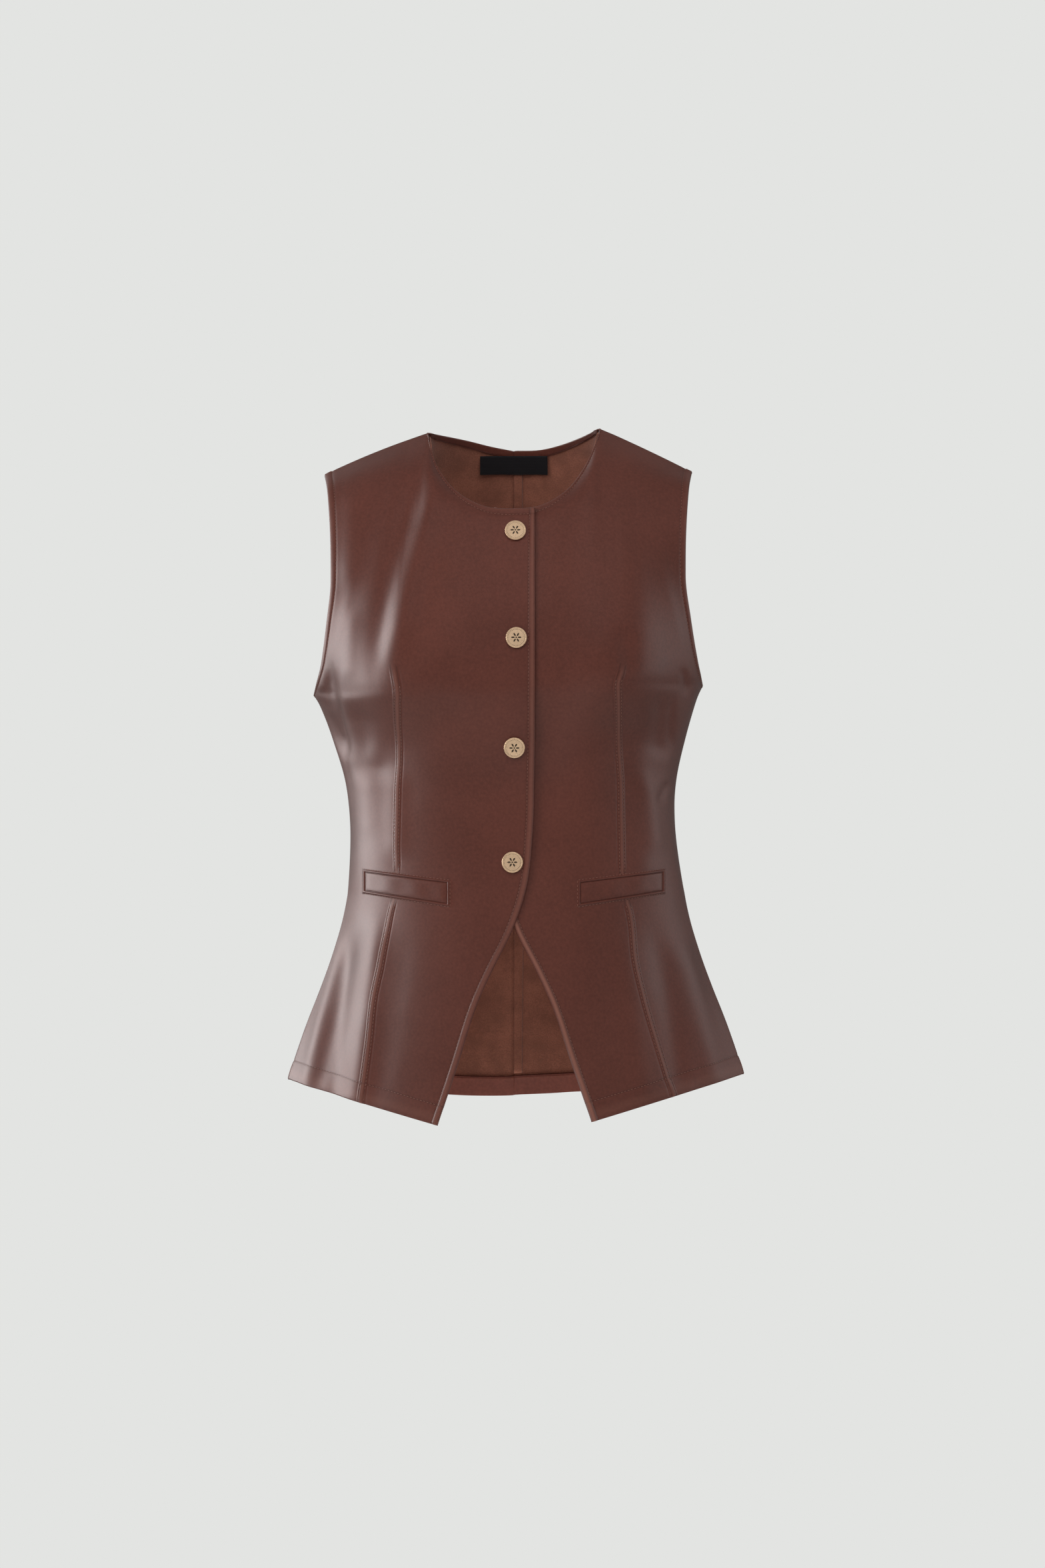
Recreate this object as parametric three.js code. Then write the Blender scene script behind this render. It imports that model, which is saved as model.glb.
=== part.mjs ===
// A fitted sleeveless leather vest with a round neck, four snap caps, two welt pockets
// and fronts cut away below the last cap, in the filled-out shape that it has when worn.
// Millimetres. +Z is up, the front faces -Y, and +X is the wearer's left side.
// The origin lies between the shoulder seams, where the wearer carries the vest.

import * as THREE from "three";

// Walls, laps and gaps
const LEATHER = 1.4; // one layer of leather
const TURNED = 2.4; // leather folded back under an edge
const FACING = 1; // strip sewn inside an edge
const GAP = 0.3; // room between two pieces that meet
const BAND_GAP = 0.5; // behind the bands at the neck and the hem, which bend most
const WELT_GAP = 0.6; // under a welt, which bridges the dart seam
const UNDERLAP = 3.2; // how far the under front drops below the upper one
const UNDERLAP_SLOPE = 0.5; // how much more it drops where the chest slopes to the neck
const UNDERLAP_FLAT = 24; // from the centre, where the whole drop is kept
const UNDERLAP_END = 70; // from the centre, where the drop has run out

// Widths of what is turned, stitched or faced, each from its edge
const EDGE_TURN = 7;
const HEM_TURN = 17;
const NECK_FACING = 7;
const ARMHOLE_FACING = 8;

// The dart seam on each front: a lapped ridge between two rows of stitches
const LAP_WIDTH = 4.8;
const LAP_SLOPE = 0.9;
const LAP_RISE = 0.9;
const LAP_TOP = -196;
const LAP_FADE = 14;

// Welts: outer and inner ends, from the centre, and their heights there
const WELT = {
  outerX: 127, outerTop: -361, outerBottom: -376.5, innerX: 57, innerTop: -369.5, innerBottom: -387,
  thickness: 1.7, rim: 0.8, rimWidth: 1.6, across: 12,
};

// Snap caps on the upper front: distance from the centre, to the wearer's right, and height
const CAP_RADIUS = 9;
const CAPS = table("x z", [
  [-1.4, -69.5],
  [-2.2, -161],
  [-0.5, -254],
  [1.2, -352],
]);

// Label inside the back neck
const LABEL = { halfWidth: 30, top: 1.5, bottom: -14.5, thickness: 0.6 };

// The vest sits a little off centre and askew on its wearer, at a few heights: how far it is
// shifted to the left, and by how much its left side is up and its right side down
const LEAN = table("z shift tilt", [
  [-540, 1.8, 2.3],
  [-380, 2, 0.5],
  [-300, -2.2, 0],
  [-230, -4.4, 1.5],
  [-205, -4.8, 4],
  [-180, -4, 3],
  [-110, -4.8, 1],
  [-18, -4.9, 1.15],
  [15, 0, 2.6],
]);
const LEAN_FULL = 150; // from the centre, where the whole shift is reached
const NECK_SKEW = 3.3; // how much higher the back neckline is on the right than on the left

// Side seam from the hem up to the underarm, shared by front and back
const SIDE_SEAM = table("x y z", [
  [197.5, -2, -537],
  [182.8, -1, -494],
  [169.5, 0, -460],
  [159.4, 1, -432],
  [149.6, 1, -399],
  [143.8, 1, -366],
  [140.2, 2, -320],
  [142.8, 2, -283],
  [152.4, 2, -246],
  [162, 1, -217],
  [168, 1, -205],
]);

// Armhole edges from the underarm up to the shoulder tip
const FRONT_ARMHOLE = table("x y z", [
  [165.8, -19, -196],
  [161.5, -36, -178],
  [156.5, -50, -145],
  [152.4, -56, -108],
  [153, -50, -70],
  [155.6, -32, -34],
  [159, 0, -16.8],
]);
const BACK_ARMHOLE = table("x y z", [
  [165, 22, -195],
  [160.5, 38, -178],
  [155, 52, -145],
  [151, 57, -108],
  [151.6, 50, -68],
  [155, 32, -33],
  [159, 0, -16.8],
]);

// Front edge from the hem up to the neck, one row for each section of the front.
// The turn is the angle in degrees that a section bends through on its way to the side,
// dart is where the dart seam crosses it, and shift is how far both dart seams lie to the left.
const FRONT_EDGE = table("x y z turn dart shift", [
  [66, -103, -574.5, 58, 133.5, 2],
  [48.5, -102, -523, 62, 122.5, -2],
  [34, -100, -478, 68, 114.5, -5.5],
  [19.8, -97, -446, 74, 108, -6],
  [0, -94, -407, 80, 103.5, -4.5],
  [-12, -91, -369, 86, 97, -4.5],
  [-16.8, -88, -321, 90, 96, -3],
  [-17.8, -90, -283, 90, 96.5, -2],
  [-18.4, -98, -245, 88, 94.5, -2],
  [-18.4, -104, -216, 86, 90, -2],
  [-18.4, -106, -200, 82, 88, -2],
  [-18.4, -105.5, -184, 74, 90, -1.5],
  [-18.4, -104, -165, 67, 94, -1],
  [-18.4, -99, -134, 59, 99, 0],
  [-18.4, -91, -104, 54, 105, 0],
  [-18.4, -82, -78, 52, 111, 0],
  [-18.4, -74.5, -61, 51, 117, 0],
  [-18.4, -67, -48.5, 50, 122, 0],
]);

// Centre back seam from the hem up to the neck
const CENTRE_BACK = table("x y z turn", [
  [0, 100, -557, 58],
  [0, 97, -512, 62],
  [0, 94, -474, 68],
  [0, 90, -443, 74],
  [0, 85, -407, 80],
  [0, 78, -371, 86],
  [0, 69, -322, 90],
  [0, 68, -284, 90],
  [0, 76, -247, 88],
  [0, 84, -216, 85],
  [0, 88, -200, 82],
  [0, 91, -182, 74],
  [0, 93, -162, 67],
  [0, 94, -128, 60],
  [0, 92, -92, 55],
  [0, 84, -56, 53],
  [0, 73, -22, 51],
  [0, 62, 5, 50],
]);
const UNDERARM = 10; // row of the sections where the side seam ends

// Neckline from the front edge, and from the centre back, to the neck end of the shoulder seam
const FRONT_NECK = table("x y z", [
  [-18.4, -66.3, -48.5],
  [0, -67, -49],
  [17, -66, -48.2],
  [35, -61.5, -42],
  [51.5, -50, -29.5],
  [64.5, -33, -10.5],
  [71.6, -13, 8.6],
  [74.2, 6, 20.3],
]);
const BACK_NECK = table("x y z", [
  [0, 62, 5],
  [22, 60, 7.4],
  [42, 51.5, 11.9],
  [58.5, 38, 16.2],
  [69.5, 22, 19.2],
  [74.2, 6, 20.3],
]);
const NECK_WIDTH = 74.2; // from the centre to the neck ends of the shoulder seams
const NECK_BLEND = 12.6; // section above which the cloth turns towards the neckline
const NECK_RISE = 1.7; // how late the heights follow it
const NECK_LEVEL = 3.4; // how late the depths follow it, so that the shoulder is rounded
const SHOULDER_BOW = { left: 0.2, right: 2.6 }; // how far the middle of each shoulder seam bows up

// Room for the figure: place, spread to the centre, to the side, upwards and downwards
const MOUNDS = table("piece x z inward outward up down height", [
  ["front", 92, -188, 50, 42, 74, 40, 17],
  ["front", 108, -256, 36, 40, 26, 50, -5],
  ["back", 74, -122, 60, 50, 60, 80, 7],
  ["back", 70, -440, 60, 60, 50, 70, 6],
]);

// Soft folds and ridges: whose panel, three places along each, its spread and its height
const FOLDS = table("piece side x1 z1 x2 z2 x3 z3 spread height", [
  ["front", "right", 98, -36, 100, -130, 104, -200, 13, 3],
  ["front", "right", 74, -70, 78, -140, 84, -205, 14, -1.6],
  ["front", "right", 156, -170, 152, -215, 148, -268, 8, -5],
  ["front", "right", 118, -228, 124, -290, 127, -350, 9, 2.2],
  ["front", "right", 131, -398, 139, -463, 152, -540, 8, 3.2],
  ["front", "right", 147, -405, 155, -463, 172, -540, 8, -3],
  ["front", "right", 92, -398, 101, -462, 116, -545, 10, 1.8],
  ["front", "left", 93, -150, 94, -175, 95, -200, 8, -1.6],
  ["front", "left", 112, -238, 114, -300, 112, -385, 13, 2],
  ["front", "left", 118, -396, 126, -440, 140, -535, 10, -2.2],
  ["front", "left", 140, -410, 152, -463, 170, -535, 11, 2.6],
  ["front", "left", 92, -398, 99, -462, 110, -545, 12, 1.5],
  ["back", "right", 40, -410, 50, -470, 62, -552, 13, 3.2],
  ["back", "right", 78, -400, 92, -465, 108, -548, 12, -3.6],
  ["back", "right", 118, -395, 134, -460, 156, -540, 12, 3],
  ["back", "right", 30, -300, 70, -306, 118, -296, 9, -1.8],
  ["back", "left", 34, -415, 46, -470, 52, -552, 14, 2.6],
  ["back", "left", 70, -402, 88, -465, 100, -548, 11, -3.2],
  ["back", "left", 122, -392, 136, -460, 160, -540, 13, 3.2],
  ["back", "left", 26, -308, 66, -300, 112, -304, 8, -1.6],
]);
const FOLD_CALM = 27; // from a seam, where folds reach their full height
const CENTRE_ROUND = 12; // keeps the cloth smooth across the centre

// Steps of the mesh between two sections, and columns between two named places
const FRONT_STEPS = [2, 2, 2, 2, 2, 3, 3, 3, 2, 1, 2, 2, 2, 2, 2, 3, 4];
const BACK_STEPS = [2, 2, 2, 2, 2, 2, 2, 2, 2, 1, 1, 2, 2, 2, 2, 3, 5];
const FRONT_COLUMNS = { edge: 1, neck: 8, lapStart: 9, lapTop: 10, lapEnd: 11, lapFoot: 12, faced: 18, last: 19 };
const BACK_COLUMNS = { edge: 1, neck: 6, faced: 12, last: 13 };

const COLOURS = { leather: 0x5c3a33, backing: 0x5b3a2d, metal: 0xc9aa8b, label: 0x17161a };
const FINISH = {
  leather: new THREE.MeshStandardMaterial({ color: COLOURS.leather, roughness: 0.42, metalness: 0 }),
  backing: new THREE.MeshStandardMaterial({ color: COLOURS.backing, roughness: 0.9, metalness: 0 }),
  metal: new THREE.MeshStandardMaterial({ color: COLOURS.metal, roughness: 0.28, metalness: 1 }),
  label: new THREE.MeshStandardMaterial({ color: COLOURS.label, roughness: 0.7, metalness: 0 }),
};

// A table's rows as objects, with the columns' names
function table(names, values) {
  const keys = names.split(" ");
  return values.map((row) => Object.fromEntries(keys.map((key, k) => [key, row[k]])));
}

const clamp = (value, low, high) => Math.min(Math.max(value, low), high);
const mix = (a, b, share) => a + (b - a) * share;

function ramp(value, start, end) {
  const share = clamp((value - start) / (end - start), 0, 1);
  return share * share * (3 - 2 * share);
}

// Slope of a list at one of its rows, limited so that the curve through it never overshoots
function slopeAt(list, k) {
  const before = list[k] - list[k - 1];
  const after = list[k + 1] - list[k];
  if (before * after <= 0) return 0;
  const most = 3 * Math.min(Math.abs(before), Math.abs(after));
  return clamp((before + after) / 2, -most, most);
}

// Value of a list at a place between its rows, smooth but for the rows named as corners
function between(list, place, corners = []) {
  const last = list.length - 1;
  const k = clamp(Math.floor(place), 0, last - 1);
  const share = place - k;
  const step = list[k + 1] - list[k];
  const start = k === 0 || corners.includes(k) ? step : slopeAt(list, k);
  const end = k + 1 === last || corners.includes(k + 1) ? step : slopeAt(list, k + 1);
  const square = share * share;
  const cube = square * share;
  return (
    list[k] * (2 * cube - 3 * square + 1) +
    start * (cube - 2 * square + share) +
    list[k + 1] * (3 * square - 2 * cube) +
    end * (cube - square)
  );
}

// Straight steps through pairs of place and value
function along(places, values, place) {
  let k = 0;
  while (k < places.length - 2 && place > places[k + 1]) k += 1;
  const share = (place - places[k]) / (places[k + 1] - places[k]);
  return mix(values[k], values[k + 1], clamp(share, 0, 1));
}

const column = (rows, key) => rows.map((row) => row[key]);

function readCurve(rows, share) {
  const place = share * (rows.length - 1);
  return ["x", "y", "z"].map((key) => between(column(rows, key), place));
}

// How far the vest is shifted sideways, or tilted, at a height
const leanAt = (key, z) => along(column(LEAN, "z"), column(LEAN, key), z);

// Height of the mounds and folds over one panel, the same on both sides of the centre
function relief(panel, fromCentre, z) {
  const x = Math.hypot(fromCentre, CENTRE_ROUND);
  let height = 0;
  for (const mound of MOUNDS) {
    if (mound.piece !== panel.piece) continue;
    const across = (x - mound.x) / (x < mound.x ? mound.inward : mound.outward);
    const upright = (z - mound.z) / (z > mound.z ? mound.up : mound.down);
    height += mound.height * Math.exp(-(across * across) - upright * upright);
  }
  for (const fold of FOLDS) {
    if (fold.piece !== panel.piece || fold.side !== panel.side) continue;
    height += foldHeight(fold, x, z);
  }
  return height;
}

// One fold: a bell across a bent line, fading out at both ends
function foldHeight(fold, x, z) {
  const share = clamp((fold.z1 - z) / (fold.z1 - fold.z3), 0, 1);
  if (Math.abs(fold.z1 - fold.z3) < 12) return levelFoldHeight(fold, x, z);
  const line = bend(fold.x1, fold.x2, fold.x3, (fold.z1 - fold.z2) / (fold.z1 - fold.z3), share);
  const beyond = Math.max(z - fold.z1, fold.z3 - z, 0);
  const off = Math.hypot(x - line, beyond) / fold.spread;
  const runsOffHem = fold.z3 < -530;
  const fade = ramp(share, 0, 0.3) * (runsOffHem ? 1 : 1 - ramp(share, 0.75, 1));
  return fold.height * Math.exp(-off * off) * fade;
}

function levelFoldHeight(fold, x, z) {
  const share = clamp((x - fold.x1) / (fold.x3 - fold.x1), 0, 1);
  const line = bend(fold.z1, fold.z2, fold.z3, (fold.x2 - fold.x1) / (fold.x3 - fold.x1), share);
  const off = (z - line) / fold.spread;
  return fold.height * Math.exp(-off * off) * ramp(share, 0, 0.35) * (1 - ramp(share, 0.65, 1));
}

// A parabola through three values, the middle one at the share given
function bend(first, middle, last, middleShare, share) {
  const straight = mix(first, last, middleShare);
  const bow = (middle - straight) / (middleShare * (1 - middleShare));
  return mix(first, last, share) + bow * share * (1 - share);
}

// One cut piece: where its sections start and end, how they bend, and its neckline
function makePanel(piece, side) {
  const front = piece === "front";
  const inner = front ? FRONT_EDGE : CENTRE_BACK;
  const outer = SIDE_SEAM.concat(front ? FRONT_ARMHOLE : BACK_ARMHOLE);
  const read = (rows, key, corners) => {
    const list = column(rows, key);
    return (place) => between(list, place, corners);
  };
  return {
    piece,
    side,
    front,
    facing: front ? -1 : 1,
    sideSign: side === "left" ? 1 : -1,
    under: front && side === "left",
    top: inner.length - 1,
    columns: front ? FRONT_COLUMNS : BACK_COLUMNS,
    steps: front ? FRONT_STEPS : BACK_STEPS,
    neck: front ? FRONT_NECK : BACK_NECK,
    inner: ["x", "y", "z"].map((key) => read(inner, key, [])),
    outer: ["x", "y", "z"].map((key) => read(outer, key, [UNDERARM])),
    turn: read(inner, "turn", []),
    dart: front ? read(inner, "dart", []) : () => 0,
    shift: front ? read(inner, "shift", []) : () => 0,
  };
}

// A section's own curve: a stretched arc in plan, square to the centre plane where it
// crosses that, cut off at the inner edge and bent by the turn at the outer one
function sectionAt(panel, row) {
  const start = panel.inner.map((read) => read(row));
  const end = panel.outer.map((read) => read(row));
  const turn = THREE.MathUtils.degToRad(panel.turn(row));
  const angleAt = (x) => Math.asin(clamp((x / end[0]) * Math.sin(turn), -1, 1));
  const first = angleAt(start[0]);
  const point = (share) => {
    const angle = mix(first, turn, share);
    const x = (end[0] * Math.sin(angle)) / Math.sin(turn);
    const y = mix(start[1], end[1], (1 - Math.cos(angle)) / (1 - Math.cos(turn)));
    const reach = (x - start[0]) / (end[0] - start[0]);
    return [x, y, mix(start[2], end[2], panel.front ? reach : reach * reach)];
  };
  const normal = (share) => {
    const angle = mix(first, turn, share);
    const dx = (end[0] * Math.cos(angle)) / Math.sin(turn);
    const dy = ((end[1] - start[1]) * Math.sin(angle)) / (1 - Math.cos(turn));
    const size = Math.hypot(dx, dy);
    return [(-panel.facing * dy) / size, (panel.facing * dx) / size];
  };
  const length = sectionLength(point);
  const dart = panel.dart(row) + panel.sideSign * panel.shift(row);
  const dartShare = (angleAt(dart) - first) / (turn - first);
  return { point, normal, length, dartShare };
}

function sectionLength(point) {
  const pieces = 12;
  let length = 0;
  for (let k = 0; k < pieces; k += 1) {
    const [ax, ay] = point(k / pieces);
    const [bx, by] = point((k + 1) / pieces);
    length += Math.hypot(bx - ax, by - ay);
  }
  return length;
}

// Share of the section at a column, so that columns keep to the edges and to the dart seam
function shareAtColumn(panel, section, row, place) {
  const { columns } = panel;
  const mm = 1 / section.length;
  const facing = ARMHOLE_FACING * mm;
  if (!panel.front) {
    return along([0, columns.edge, columns.faced, columns.last], [0, EDGE_TURN * mm, 1 - facing, 1], place);
  }
  const widen = 1 + 4 * ramp(row, UNDERARM, panel.top);
  const half = (LAP_WIDTH / 2) * mm * widen;
  const foot = half + LAP_SLOPE * mm * widen;
  const dart = section.dartShare;
  return along(
    [0, columns.edge, columns.lapStart, columns.lapTop, columns.lapEnd, columns.lapFoot, columns.faced, columns.last],
    [0, EDGE_TURN * mm, dart - foot, dart - half, dart + half, dart + foot, 1 - facing, 1],
    place,
  );
}

// Point of the neckline or shoulder seam at a column
function topAt(panel, place) {
  const { columns, neck } = panel;
  const neckLength = panel.front ? 160 : 105;
  if (place <= columns.neck) {
    const share = along([0, columns.edge, columns.neck], [0, EDGE_TURN / neckLength, 1], place);
    return readCurve(neck, share);
  }
  const end = panel.outer.map((read) => read(panel.top));
  const start = readCurve(neck, 1);
  const seam = Math.hypot(end[0] - start[0], end[2] - start[2]);
  const share = along([columns.neck, columns.faced, columns.last], [0, 1 - ARMHOLE_FACING / seam, 1], place);
  const point = start.map((value, k) => mix(value, end[k], share));
  point[2] += SHOULDER_BOW[panel.side] * 4 * share * (1 - share);
  return point;
}

// Outer face of the leather at a section and a column
function surface(panel, row, place) {
  const section = sectionAt(panel, row);
  const share = shareAtColumn(panel, section, row, place);
  const point = section.point(share);
  const [nx, ny] = section.normal(share);
  if (row > NECK_BLEND) {
    const part = (row - NECK_BLEND) / (panel.top - NECK_BLEND);
    const topSection = sectionAt(panel, panel.top);
    const base = topSection.point(shareAtColumn(panel, topSection, panel.top, place));
    const target = topAt(panel, place);
    point[0] += (target[0] - base[0]) * Math.pow(part, NECK_RISE);
    point[1] += (target[1] - base[1]) * Math.pow(part, NECK_LEVEL);
    point[2] += (target[2] - base[2]) * Math.pow(part, NECK_RISE);
  }
  const fromSeam = (1 - share) * section.length;
  const fromCentre = panel.front ? UNDERLAP_END : share * section.length;
  const calm = ramp(fromSeam, 0, FOLD_CALM) * ramp(fromCentre, 0, FOLD_CALM);
  const fromTop = panel.top - row;
  let rise = relief(panel, point[0], point[2]) * calm * ramp(fromTop, 0, 1.2);
  rise += lapRise(panel, place, point[2]);
  if (panel.under) {
    const slope = 1 + UNDERLAP_SLOPE * ramp(row, NECK_BLEND, panel.top);
    rise -= UNDERLAP * slope * (1 - ramp(point[0], UNDERLAP_FLAT, UNDERLAP_END));
  }
  return placeOnWearer(panel, point[0] + nx * rise, point[1] + ny * rise, point[2]);
}

// Height of the dart seam's lap, which stops under the welt
function lapRise(panel, place, z) {
  if (!panel.front || place <= panel.columns.lapStart || place >= panel.columns.lapFoot) return 0;
  const onTop = place >= panel.columns.lapTop && place <= panel.columns.lapEnd;
  const underWelt = z > WELT.innerBottom - 2 && z < WELT.outerTop + 2;
  if (!onTop || underWelt) return 0;
  return LAP_RISE * ramp(-z, -LAP_TOP - LAP_FADE, -LAP_TOP);
}

function placeOnWearer(panel, x, y, z) {
  const out = clamp(x / LEAN_FULL, 0, 1);
  const lean = leanAt("shift", z) * out;
  const tilt = leanAt("tilt", z) * out ** 0.5;
  const skew = panel.front ? 0 : NECK_SKEW * Math.sin(Math.PI * clamp(x / NECK_WIDTH, 0, 1));
  const rise = tilt - skew * ramp(z, -60, 0);
  return new THREE.Vector3(panel.sideSign * x + lean, y, z + panel.sideSign * rise);
}

// Outward direction of the leather, kept in the seam's own plane along a seam
function outward(panel, row, place) {
  const step = 0.04;
  const low = surface(panel, Math.max(row - step, 0), place);
  const high = surface(panel, Math.min(row + step, panel.top), place);
  const near = surface(panel, row, Math.max(place - step * 2, 0));
  const far = surface(panel, row, Math.min(place + step * 2, panel.columns.last));
  const normal = new THREE.Vector3().crossVectors(far.sub(near), high.sub(low)).normalize();
  if (normal.y * panel.facing < 0 && Math.abs(normal.y) > 0.05) normal.negate();
  else if (normal.x * panel.sideSign < 0 && Math.abs(normal.y) <= 0.05) normal.negate();
  const onSide = place === panel.columns.last && row <= UNDERARM;
  const onShoulder = row === panel.top && place >= panel.columns.neck;
  if (onSide || onShoulder) return mitred(normal, "y");
  if (!panel.front && place === 0) return mitred(normal, "x");
  return normal;
}

// A direction laid into a seam's plane, and lengthened so that the wall keeps its thickness
function mitred(normal, key) {
  const flat = normal.clone();
  flat[key] = 0;
  const size = flat.length();
  return flat.divideScalar(size * Math.max(size, 0.6));
}

// A point of a panel moved out from its outer face, or in where the distance is negative
function pointAt(panel, row, place, distance) {
  const point = surface(panel, row, place).addScaledVector(outward(panel, row, place), distance);
  const onSide = place === panel.columns.last && row <= UNDERARM;
  const onShoulder = row === panel.top && place >= panel.columns.neck;
  if (onSide || onShoulder) point.y += (panel.facing * GAP) / 2;
  if (!panel.front && place === 0) point.x += (panel.sideSign * GAP) / 2;
  return point;
}

// A closed wall between an outer and an inner grid of points
function wall(outer, inner, flip) {
  const rows = outer.length;
  const columns = outer[0].length;
  const points = [...outer.flat(), ...inner.flat()];
  const faces = [];
  const quad = (a, b, c, d) => {
    const turned = flip ? [a, c, b, a, d, c] : [c, a, b, d, a, c];
    faces.push(...turned);
  };
  const at = (layer, r, c) => layer * rows * columns + r * columns + c;
  for (let r = 0; r < rows - 1; r += 1) {
    for (let c = 0; c < columns - 1; c += 1) {
      quad(at(0, r, c), at(0, r, c + 1), at(0, r + 1, c + 1), at(0, r + 1, c));
      quad(at(1, r, c), at(1, r + 1, c), at(1, r + 1, c + 1), at(1, r, c + 1));
    }
  }
  for (let r = 0; r < rows - 1; r += 1) {
    const end = columns - 1;
    quad(at(0, r, 0), at(0, r + 1, 0), at(1, r + 1, 0), at(1, r, 0));
    quad(at(0, r, end), at(1, r, end), at(1, r + 1, end), at(0, r + 1, end));
  }
  for (let c = 0; c < columns - 1; c += 1) {
    const end = rows - 1;
    quad(at(0, 0, c), at(1, 0, c), at(1, 0, c + 1), at(0, 0, c + 1));
    quad(at(0, end, c), at(0, end, c + 1), at(1, end, c + 1), at(1, end, c));
  }
  const geometry = new THREE.BufferGeometry();
  geometry.setAttribute("position", new THREE.Float32BufferAttribute(points.flatMap((p) => [p.x, p.y, p.z]), 3));
  geometry.setIndex(faces);
  geometry.computeVertexNormals();
  return geometry;
}

// Whether a panel's grid has to be turned round for its faces to point out
const flipped = (panel) => panel.sideSign * panel.facing > 0;

function wallOf(panel, rows, places, outerFace, innerFace) {
  const layer = (distance) => rows.map((row) => places.map((place) => pointAt(panel, row, place, distance(row, place))));
  return wall(layer(outerFace), layer(innerFace), flipped(panel));
}

function add(group, name, geometry, material) {
  const mesh = new THREE.Mesh(geometry, material);
  mesh.name = name;
  group.add(mesh);
}

const range = (first, last) => Array.from({ length: last - first + 1 }, (_, k) => first + k);

// Places of the mesh rows: each section, and the even steps between two
function rowPlaces(panel) {
  const places = panel.steps.flatMap((steps, k) => range(0, steps - 1).map((step) => k + step / steps));
  return [...places, panel.top];
}

// Row that lies a given distance above the hem, or below the top edge, along a column
function rowFromHem(panel, place, distance) {
  return walkRows(panel, place, 0, 0.02, distance);
}

function rowFromTop(panel, place, distance) {
  return walkRows(panel, place, panel.top, -0.02, distance);
}

function walkRows(panel, place, start, step, distance) {
  let row = start;
  let walked = 0;
  let from = surface(panel, row, place);
  while (walked < distance) {
    const to = surface(panel, row + step, place);
    walked += to.distanceTo(from);
    row += step;
    from = to;
  }
  return row;
}

// Thickness of the leather: doubled where a front's edge, neckline or hem is turned in
function thicknessAt(panel, row, place) {
  if (!panel.front) return LEATHER;
  const turned = place === 0 || row === 0 || (row === panel.top && place <= panel.columns.neck);
  return turned ? TURNED : LEATHER;
}

function addPanel(group, panel) {
  const places = range(0, panel.columns.last);
  const thickness = (row, place) => -thicknessAt(panel, row, place);
  const geometry = wallOf(panel, rowPlaces(panel), places, () => 0, thickness);
  add(group, `${panel.piece}_${panel.side}`, geometry, FINISH.leather);
}

// Strip sewn inside the armhole edge of a panel
function addArmholeFacing(group, panel) {
  const rows = rowPlaces(panel).filter((row) => row >= UNDERARM);
  const outer = LEATHER + GAP;
  const geometry = wallOf(
    panel, rows, [panel.columns.faced, panel.columns.last], () => -outer, () => -outer - FACING,
  );
  add(group, `armhole_facing_${panel.piece}_${panel.side}`, geometry, FINISH.leather);
}

// Grid whose rows follow a panel's hem or neckline at steps of distance from it
function bandWall(panel, places, distances, rowAt, outer, inner) {
  const layer = (depth) => distances.map((distance) =>
    places.map((place) => {
      const row = distance === 0 ? rowAt(panel, place, 0) : rowAt(panel, place, distance);
      return pointAt(panel, row, place, -depth);
    }));
  return [layer(outer), layer(inner)];
}

function addHemTurn(group, panel) {
  const start = LEATHER + BAND_GAP;
  const distances = [0, HEM_TURN / 2, HEM_TURN];
  const [outer, inner] = bandWall(
    panel, range(0, panel.columns.last), distances, rowFromHem, start, start + FACING,
  );
  add(group, `back_hem_turn_${panel.side}`, wall(outer, inner, flipped(panel)), FINISH.leather);
}

function addNeckFacing(group, panel) {
  const start = LEATHER + BAND_GAP;
  const [outer, inner] = bandWall(
    panel, range(0, panel.columns.neck), [NECK_FACING, NECK_FACING / 2, 0], rowFromTop, start, start + FACING,
  );
  add(group, `back_neck_facing_${panel.side}`, wall(outer, inner, flipped(panel)), FINISH.leather);
}

// Allowance of the centre back seam, pressed towards the wearer's left
function addSeamAllowance(group, panel) {
  const start = rowFromHem(panel, 0, HEM_TURN + 2);
  const end = rowFromTop(panel, 0, NECK_FACING + 2);
  const rows = [start, ...rowPlaces(panel).filter((row) => row > start && row < end), end];
  const outer = LEATHER + GAP;
  const geometry = wallOf(panel, rows, [0, panel.columns.edge], () => -outer, () => -outer - FACING);
  add(group, "centre_back_allowance", geometry, FINISH.backing);
}

// Row and column of the outer face under a place given from the centre, by halving in turn
function findPlace(panel, x, z) {
  let row = panel.top / 2;
  let place = panel.columns.last / 2;
  for (let round = 0; round < 7; round += 1) {
    place = halve(0, panel.columns.last, (value) => panel.sideSign * surface(panel, row, value).x > x);
    row = halve(0, panel.top, (value) => surface(panel, value, place).z > z);
  }
  return { row, place };
}

function halve(start, end, isBeyond) {
  let low = start;
  let high = end;
  for (let k = 0; k < 16; k += 1) {
    const middle = (low + high) / 2;
    if (isBeyond(middle)) high = middle;
    else low = middle;
  }
  return (low + high) / 2;
}

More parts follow.
